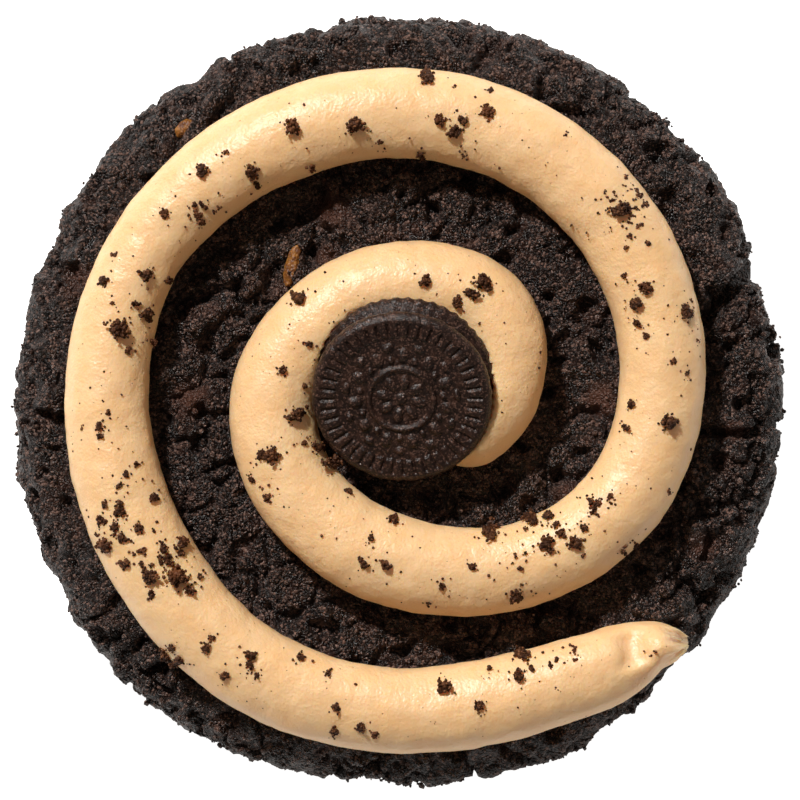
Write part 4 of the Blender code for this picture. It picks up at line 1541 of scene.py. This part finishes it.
@dataclass
class Frosting:
    """The piped bead of frosting and the crumbs on it."""

    path: BeadPath
    cookie: Cookie
    biscuit: SandwichBiscuit
    sides: int = 72
    waist: float = 0.62
    upper: float = 0.90
    lower: float = 0.78
    droop: float = 0.55
    sink: float = 0.35 * MM
    dent_at: tuple[float, float] = (32.5, -36.2)
    dent_heading: float = math.radians(12.0)
    dent_length: float = 7.5 * MM
    dent_width: float = 2.4 * MM
    dent_depth: float = 1.35 * MM
    dent_crook: float = 0.45
    torn_reach: float = 4.5 * MM
    torn_length: float = 1.5 * MM
    torn_height: float = 0.4 * MM
    tail_stretch: float = 1.0
    tail_reach: float = 9.0 * MM
    crumbs: tuple[tuple[float, float, float], ...] = (
        (-64.7, -0.98, 2.9), (-66.9, -0.45, 2.2), (-75.7, 0.03, 1.9), (-81.5, -0.55, 3.0), (-97.0, 0.48, 2.0),
        (-101.5, 0.68, 2.0), (-120.9, -0.21, 2.3), (-122.8, 0.5, 2.0), (-128.4, 0.25, 1.9), (-130.8, 0.92, 2.6),
        (-133.0, 1.05, 2.3), (-138.2, -0.35, 1.9), (-142.2, -0.31, 4.9), (-145.1, 0.2, 3.8), (-147.2, -0.78, 2.6),
        (-148.0, -0.37, 2.0), (-149.7, 0.55, 2.5), (-153.8, 0.34, 2.0), (-154.3, -0.1, 2.0), (-154.4, 0.78, 3.2),
        (-156.2, 0.39, 2.0), (-158.8, 0.15, 2.3), (-194.3, -0.14, 4.9), (-199.1, -0.73, 2.9), (-202.0, 0.62, 2.3),
        (-206.4, -0.33, 2.6), (-218.5, 0.16, 2.0), (-229.2, 0.28, 2.6), (-236.8, -0.4, 2.9), (-248.4, 0.08, 3.5),
        (-260.5, -0.21, 3.8), (-274.7, 0.83, 3.5), (-277.6, -0.1, 2.3), (-281.1, -0.32, 2.6), (-282.4, -0.02, 1.9),
        (-286.4, 0.34, 2.6), (-318.7, 0.28, 3.6), (-334.9, -0.07, 2.5), (-337.1, -0.43, 2.6), (-342.3, 0.66, 2.9),
        (-364.5, 0.28, 3.2), (-397.7, -0.93, 2.0), (-398.8, 0.01, 2.9), (-401.9, -1.05, 3.5), (-404.3, -0.31, 2.9),
        (-415.6, -1.04, 3.8), (-419.3, 0.73, 3.3), (-454.1, -0.89, 2.2), (-455.7, 0.15, 2.5), (-463.0, 0.29, 2.2),
        (-498.7, -1.05, 3.6), (-510.9, -0.93, 2.3), (-518.0, 0.15, 3.5), (-519.6, 0.39, 2.0), (-532.8, -0.56, 3.5),
        (-585.1, 0.72, 3.2), (-641.9, 0.13, 2.6), (-659.0, -0.23, 2.2), (-662.6, 0.11, 2.9), (-664.9, 0.48, 3.9),
    )
    specks: tuple[tuple[float, float, float], ...] = (
        (-44.4, 0.23, 0.9), (-45.7, 0.26, 0.7), (-54.9, -0.71, 0.9), (-59.5, 0.94, 1.4), (-63.9, -0.56, 1.2),
        (-71.8, -0.77, 0.9), (-94.5, 0.63, 1.7), (-102.0, 0.11, 1.6), (-105.1, -0.62, 1.3), (-111.7, -0.75, 1.7),
        (-117.8, 0.08, 1.2), (-119.8, -0.03, 1.7), (-128.8, -0.02, 1.2), (-132.9, 0.79, 1.4), (-139.1, -0.72, 1.0),
        (-142.3, 0.4, 1.7), (-158.6, 0.65, 1.6), (-158.9, -0.69, 1.7), (-161.0, 0.43, 1.4), (-163.4, -0.01, 1.2),
        (-166.8, -0.51, 1.0), (-173.5, 0.19, 1.2), (-175.6, 0.18, 1.2), (-177.8, -0.04, 1.0), (-190.9, -0.44, 1.4),
        (-193.5, -1.01, 1.2), (-198.7, 0.19, 0.9), (-200.4, -0.34, 1.2), (-207.1, 0.65, 1.0), (-207.8, -0.93, 1.2),
        (-221.8, -0.64, 1.4), (-224.6, -0.33, 1.2), (-234.9, 0.28, 0.9), (-236.4, -0.76, 1.2), (-248.8, -0.91, 1.3),
        (-265.3, -0.64, 0.9), (-274.6, -0.93, 1.4), (-279.5, 0.7, 0.9), (-284.1, -0.76, 0.7), (-286.0, 0.83, 1.0),
        (-301.7, 0.67, 0.7), (-330.5, -0.44, 0.9), (-341.6, -0.48, 1.4), (-344.9, -0.35, 1.3), (-351.5, 0.24, 1.3),
        (-354.4, 0.54, 1.0), (-360.3, -0.71, 1.6), (-366.4, -0.7, 1.3), (-378.7, 0.86, 1.2), (-384.7, -0.26, 1.2),
        (-387.5, -0.54, 1.3), (-388.9, -0.38, 1.2), (-391.6, 1.02, 1.2), (-394.1, 0.94, 1.2), (-394.6, -0.16, 1.4),
        (-398.5, -0.61, 1.4), (-399.4, -0.37, 1.4), (-426.8, -0.12, 1.6), (-437.5, 0.35, 1.3), (-442.5, 0.79, 0.9),
        (-462.5, -0.27, 1.2), (-480.7, -0.89, 1.2), (-504.7, 0.65, 1.7), (-512.5, 0.8, 1.3), (-517.6, -0.63, 1.2),
        (-549.3, -0.62, 0.9), (-555.5, 0.0, 1.7), (-572.3, -0.2, 1.3),
    )
    speck_groups: tuple[tuple[float, float, float, int, float], ...] = (
        (-60.5, -0.49, 1.0, 6, 4.0), (-165.2, -0.22, 1.0, 3, 3.0), (-175.0, 0.2, 1.0, 4, 3.2),
        (-222.6, -0.47, 1.2, 7, 2.8), (-319.6, 0.44, 1.1, 34, 3.6), (-387.4, -0.38, 1.2, 5, 2.4),
        (-414.7, 0.09, 0.9, 5, 2.6), (-343.0, 0.75, 0.8, 14, 2.4), (-145.5, -0.31, 1.3, 9, 2.2),
        (-150.0, 0.1, 1.2, 8, 4.0), (-158.0, 0.55, 1.2, 7, 3.4), (-405.0, -0.1, 1.2, 8, 3.6),
    )
    core_share: float = 0.42
    single_below: float = 0.6 * MM
    grain_share: float = 0.19
    grain_limits: tuple[float, float] = (0.36 * MM, 0.52 * MM)
    crowding: float = 2.2
    dust_count: int = 260
    dust_turns: tuple[float, float] = (-735.0, -46.0)
    spread_sizes: tuple[float, float] = (0.32, 0.85)
    most_across: float = 0.85
    seed: int = 11

    def floor(self, x: np.ndarray, y: np.ndarray) -> np.ndarray:
        """Height of the bead's underside: the tail doesn't droop as far as the cookie's shoulder falls.

        Args:
            x: X of each place.
            y: Y of each place.

        Returns:
            The heights.
        """
        crown = self.cookie.centre_height - self.cookie.crown_fall * (np.hypot(x, y) / self.cookie.radius) ** 2
        return crown - (crown - self.cookie.top(x, y)) * self.droop

    def dent(self, x: np.ndarray, y: np.ndarray) -> np.ndarray:
        """Depth of the spoon-shaped dent that the lifted nozzle left in the tail.

        Args:
            x: X of each place.
            y: Y of each place.

        Returns:
            The depths.
        """
        apart = np.stack([x, y], axis=1) - np.array(self.dent_at) * MM
        along = np.array([math.cos(self.dent_heading), math.sin(self.dent_heading)])
        lengthwise = apart @ along
        sideways = np.linalg.norm(apart - lengthwise[:, None] * along, axis=1)
        steep_end = smooth_step(lengthwise + self.dent_crook * sideways**2 / self.dent_width, -1.5 * MM, 0.6 * MM)
        fading = 1.0 - smooth_step(lengthwise, 0.6 * MM, self.dent_length)
        return self.dent_depth * steep_end * fading * np.exp(-((sideways / self.dent_width) ** 4))

    def stretch(self, x: np.ndarray, y: np.ndarray) -> np.ndarray:
        """How many times taller than the bead's section the torn tip stands, as the nozzle drew it up.

        Args:
            x: X of each place.
            y: Y of each place.

        Returns:
            The factors, 1 away from the tip.
        """
        away = np.hypot(x - self.path.line[0, 0], y - self.path.line[0, 1])
        return 1.0 + self.tail_stretch * (1.0 - smooth_step(away, 0.0, self.tail_reach))

    def press(self, places: np.ndarray) -> np.ndarray:
        """Pushes the frosting down where the biscuit sits in it.

        Args:
            places: Places on the bead.

        Returns:
            The places with the biscuit's seat pressed in.
        """
        into = np.array(self.biscuit.matrix.inverted())
        back = np.array(self.biscuit.matrix)
        local = places @ into[:3, :3].T + into[:3, 3]
        reach = np.hypot(local[:, 0], local[:, 1] - self.biscuit.slip) - self.biscuit.radius
        rise = smooth_step(reach, -0.6 * MM, 0.6 * MM) * 9.0 * MM + np.maximum(reach, 0.0)
        limit = -self.biscuit.half - 0.05 * MM + rise
        local[:, 2] = np.minimum(local[:, 2], limit)
        return local @ back[:3, :3].T + back[:3, 3]

    def build_bead(self, noise: Noise) -> bpy.types.Object:
        """Makes the bead with its streaks, its torn tail and the biscuit's seat.

        Args:
            noise: Source of its unevenness.

        Returns:
            The closed bead.
        """
        line, width = self.path.line, self.path.width
        count = len(line)
        ahead = np.gradient(line, axis=0)
        ahead /= np.linalg.norm(ahead, axis=1, keepdims=True)
        side = np.stack([-ahead[:, 1], ahead[:, 0]], axis=1)
        run = np.concatenate([[0.0], np.cumsum(np.linalg.norm(np.diff(line, axis=0), axis=1))])
        bend = (np.arange(self.sides) + 0.5) * math.tau / self.sides
        upright = np.where(np.sin(bend) > 0.0, self.upper, self.lower)
        across = np.cos(bend)
        height = np.maximum(self.waist + upright * np.sin(bend), 0.0)
        floor = self.floor(line[:, 0], line[:, 1]) - self.sink
        x = line[:, None, 0] + side[:, None, 0] * across * width[:, None]
        y = line[:, None, 1] + side[:, None, 1] * across * width[:, None]
        z = floor[:, None] + height * width[:, None] * self.stretch(x, y)
        places = np.stack([x.ravel(), y.ravel(), z.ravel()], axis=1)
        faces = tube_faces(count, self.sides)
        first, last = list(range(self.sides)), [(count - 1) * self.sides + i for i in range(self.sides)]
        faces += [tuple(reversed(first)), tuple(last)]
        bead = mesh_object("frosting_bead", places, faces)
        turn_faces_out(bead.data)
        normals = vertex_normals(bead.data)
        runs, sideways, upwards = np.repeat(run, self.sides), np.tile(across, count), np.tile(height, count)
        streak = np.stack([runs / 9.0, sideways * 3.0 * MM, upwards * 3.0 * MM], axis=1)
        shift = 0.18 * MM * noise.waves(places, 7.0 * MM) + 0.11 * MM * noise.waves(places, 2.6 * MM)
        shift += 0.05 * MM * noise.waves(streak, 0.7 * MM) + 0.045 * MM * noise.waves(places, 0.9 * MM)
        torn = 1.0 - smooth_step(runs, 0.3 * MM, self.torn_reach)
        strands = np.stack([sideways * 5.0 * MM, upwards * 2.0 * MM, np.zeros(len(places))], axis=1)
        ragged = noise.waves(strands, 1.1 * MM)
        back = np.repeat(ahead, self.sides, axis=0)
        moved = places + normals * shift[:, None]
        moved[:, :2] -= back * (torn * self.torn_length * ragged)[:, None]
        moved[:, 2] += torn * self.torn_height * ragged
        over = smooth_step(moved[:, 2] - np.repeat(floor, self.sides), 1.2 * MM, 3.0 * MM)
        moved[:, 2] -= self.dent(moved[:, 0], moved[:, 1]) * over
        move_vertices(bead.data, self.press(moved))
        return bead

    def surface(self, places: np.ndarray) -> np.ndarray:
        """Height of the bead's upper surface.

        Args:
            places: Places on the bead, of which X and Y count.

        Returns:
            The heights.
        """
        away, width = self.path.nearest(places)
        across = np.minimum(away / width, 0.98)
        rise = self.waist + self.upper * np.sqrt(1.0 - across * across)
        height = self.floor(places[:, 0], places[:, 1]) - self.sink
        height += width * rise * self.stretch(places[:, 0], places[:, 1])
        return height - self.dent(places[:, 0], places[:, 1])

    def clump(self, centre: np.ndarray, width: float, draw: np.random.Generator) -> tuple[np.ndarray, np.ndarray]:
        """Grows one crumb, grain by grain, so that its outline stays loose and open.

        Args:
            centre: X and Y of the crumb.
            width: Its width.
            draw: Seeded source of random numbers.

        Returns:
            Centres of its grains, whose heights count from the surface it lies on, and their widths.
        """
        if width < self.single_below:
            return np.array([[*centre, 0.2 * width]]), np.array([width])
        grain = float(np.clip(self.grain_share * width, *self.grain_limits))
        lobes = draw.uniform(0.0, math.tau, 3)
        spots = [np.array([0.0, 0.0, 0.15 * width])]
        sizes = [max(self.core_share * width, grain)]
        for _ in range(int(12.0 + self.crowding * (width / grain) ** 2.15)):
            way = draw.normal(size=3)
            step = way / np.linalg.norm(way) * (0.42 * sizes[0] + 0.3 * grain if draw.random() < 0.3 else 0.8 * grain)
            spot = spots[0] + step if draw.random() < 0.3 else spots[int(draw.integers(len(spots)))] + step
            heading = math.atan2(spot[1], spot[0])
            waves = 0.26 * math.cos(2.0 * (heading - lobes[0])) + 0.16 * math.cos(3.0 * (heading - lobes[1]))
            reach = 0.5 * width * (1.06 + waves)
            if math.hypot(spot[0], spot[1], 1.3 * spot[2]) > reach or spot[2] < -0.1 * grain:
                continue
            spots.append(spot)
            sizes.append(grain * draw.uniform(0.7, 1.45))
        made = np.array(spots)
        made[:, :2] += centre
        return made, np.array(sizes)

    def crumb_places(self) -> list[tuple[np.ndarray, float]]:
        """Centre and width of every crumb: the first of each group lies at its place, with the rest strewn round it.

        Returns:
            The crumbs and specks, then the dust round them and all over.
        """
        made = []
        rows = [(*crumb, 1, 0.0) for crumb in self.crumbs + self.specks] + list(self.speck_groups)
        for number, (turn, across, width, count, spread) in enumerate(rows):
            draw = random.Random(self.seed + number)
            radius, half_width = (self.path.read(np.array([turn]), column)[0] for column in (1, 2))
            made.append((self.path.place(turn, across), width * MM))
            for item in range(1, 2 * count + 4):
                dust = item >= count
                reach = (spread + 0.4 * width + 0.9) * MM if dust else spread * MM
                here = turn + math.degrees(draw.gauss(0.0, 0.6) * reach / radius)
                side = across + draw.gauss(0.0, 0.6) * reach / half_width
                side = min(max(side, -self.most_across), self.most_across)
                size = draw.uniform(0.2, 0.5) if dust else width * draw.uniform(*self.spread_sizes)
                made.append((self.path.place(here, side), size * MM))
        draw = random.Random(self.seed)
        for _ in range(self.dust_count):
            spot = self.path.place(draw.uniform(*self.dust_turns), draw.uniform(-0.92, 0.92))
            made.append((spot, (0.16 + 0.4 * draw.random() ** 3) * MM))
        return made

    def build_crumbs(self) -> bpy.types.Object:
        """Makes the crumbs on the frosting.

        Returns:
            The joined crumbs.
        """
        draw = np.random.default_rng(self.seed + 500)
        centres, widths = [], []
        for spot, width in self.crumb_places():
            away = math.hypot(spot[0] - self.biscuit.centre.x, spot[1] - self.biscuit.centre.y - self.biscuit.slip)
            if away < self.biscuit.radius + 0.3 * width:
                continue
            spots, sizes = self.clump(spot, width, draw)
            spots[:, 2] += self.surface(spots)
            centres.append(spots)
            widths.append(sizes)
        centres, widths = np.concatenate(centres), np.concatenate(widths)
        return grain_cloud("scattered_crumbs", Grain.PEBBLE, centres, widths, draw, 0.2)

    def build(self, groups: NodeGroups, noise: Noise) -> list[bpy.types.Object]:
        """Makes and dresses the frosting and its crumbs.

        Args:
            groups: The shared shader groups.
            noise: Source of its unevenness.

        Returns:
            The pieces.
        """
        bead, crumbs = self.build_bead(noise), self.build_crumbs()
        bead.data.materials.append(FROSTING.material(groups))
        crumbs.data.materials.append(CRUMB.material(groups))
        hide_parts("frosting")
        return [bead, crumbs]


# ---------------------------------------------------------------- the studio


@dataclass
class Studio:
    """Camera, lights, floor and background."""

    view_width: float = 116.64 * MM
    view_centre: tuple[float, float] = (-0.19 * MM, 0.26 * MM)
    camera_height: float = 2.0
    focus_height: float = 9.0 * MM
    key_colour: Colour = (1.0, 0.985, 0.955)
    sky_colour: Colour = (1.0, 0.87, 0.74)
    floor_colour: Colour = (0.86, 0.86, 0.86)
    key_strength: float = 3.75
    key_spread: float = math.radians(5.0)
    key_from: tuple[float, float, float] = (-0.47, 0.80, 0.95)
    sky_strength: float = 0.195
    floor_glow: float = 0.35

    def build_camera(self) -> bpy.types.Object:
        """Makes the camera, which looks straight down with a long lens.

        Returns:
            The camera.
        """
        data = bpy.data.cameras.new("camera")
        distance = self.camera_height - self.focus_height
        data.lens = data.sensor_width * distance / self.view_width
        data.clip_end = 10.0
        camera = add_object("camera", data)
        camera.location = (*self.view_centre, self.camera_height)
        bpy.context.scene.camera = camera
        return camera

    def build_key(self) -> bpy.types.Object:
        """Makes the key light, from the upper left.

        Returns:
            The light.
        """
        data = bpy.data.lights.new("key", "SUN")
        data.energy = self.key_strength
        data.angle = self.key_spread
        data.color = self.key_colour
        key = add_object("key", data)
        key.rotation_euler = Vector(self.key_from).to_track_quat("Z", "Y").to_euler()
        return key

    def build_floor(self) -> bpy.types.Object:
        """Makes the pale floor.

        Returns:
            The floor.
        """
        bm = bmesh.new()
        bmesh.ops.create_grid(bm, x_segments=1, y_segments=1, size=3.0)
        mesh = bpy.data.meshes.new("floor")
        bm.to_mesh(mesh)
        bm.free()
        floor = add_object("floor", mesh)
        floor.location.z = -0.02 * MM
        material = bpy.data.materials.new("pale floor")
        material.use_nodes = True
        shader = material.node_tree.nodes["Principled BSDF"]
        shader.inputs["Base Color"].default_value = (*self.floor_colour, 1.0)
        shader.inputs["Roughness"].default_value = 0.9
        shader.inputs["Emission Color"].default_value = (1.0, 1.0, 1.0, 1.0)
        tree = ShaderTree(material.node_tree)
        seen = tree.add("ShaderNodeLightPath").outputs["Is Camera Ray"]
        glow = tree.math("MAXIMUM", seen, self.floor_glow)
        tree.join(glow, shader.inputs["Emission Strength"])
        mesh.materials.append(material)
        return floor

    def build_sky(self) -> None:
        """Sets the soft warm light from all round."""
        world = bpy.data.worlds.new("soft sky")
        world.use_nodes = True
        background = world.node_tree.nodes["Background"]
        background.inputs["Color"].default_value = (*self.sky_colour, 1.0)
        background.inputs["Strength"].default_value = self.sky_strength
        bpy.context.scene.world = world
        bpy.context.scene.view_settings.view_transform = "Standard"

    def build(self) -> None:
        """Makes the whole studio."""
        self.build_camera()
        self.build_key()
        self.build_floor()
        self.build_sky()


def report(piece: bpy.types.Object) -> None:
    """Logs a piece, and warns where it holds more triangles than TRIANGLE_LIMIT.

    Args:
        piece: The piece to report.
    """
    triangles = sum(len(polygon.vertices) - 2 for polygon in piece.data.polygons)
    level = logging.WARNING if triangles > TRIANGLE_LIMIT else logging.INFO
    log.log(level, "%s: %d triangles", piece.name, triangles)


def main() -> None:
    """Builds the studio and every piece of the cookie."""
    logging.basicConfig(level=logging.INFO, format="%(name)s %(levelname)s %(message)s")
    for piece in list(bpy.data.objects):
        if piece.type in ("CAMERA", "LIGHT") or piece.name == "Cube":
            bpy.data.objects.remove(piece, do_unlink=True)
    Studio().build()
    groups, noise, path = NodeGroups(), Noise(23), BeadPath()
    biscuit = SandwichBiscuit()
    cookie = Cookie(path, biscuit)
    frosting = Frosting(path, cookie, biscuit)
    builders: list[Callable] = [cookie.build, frosting.build, biscuit.build]
    for build in builders:
        for piece in build(groups, noise):
            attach(piece, BODY)
            report(piece)


if __name__ == "__main__":
    main()
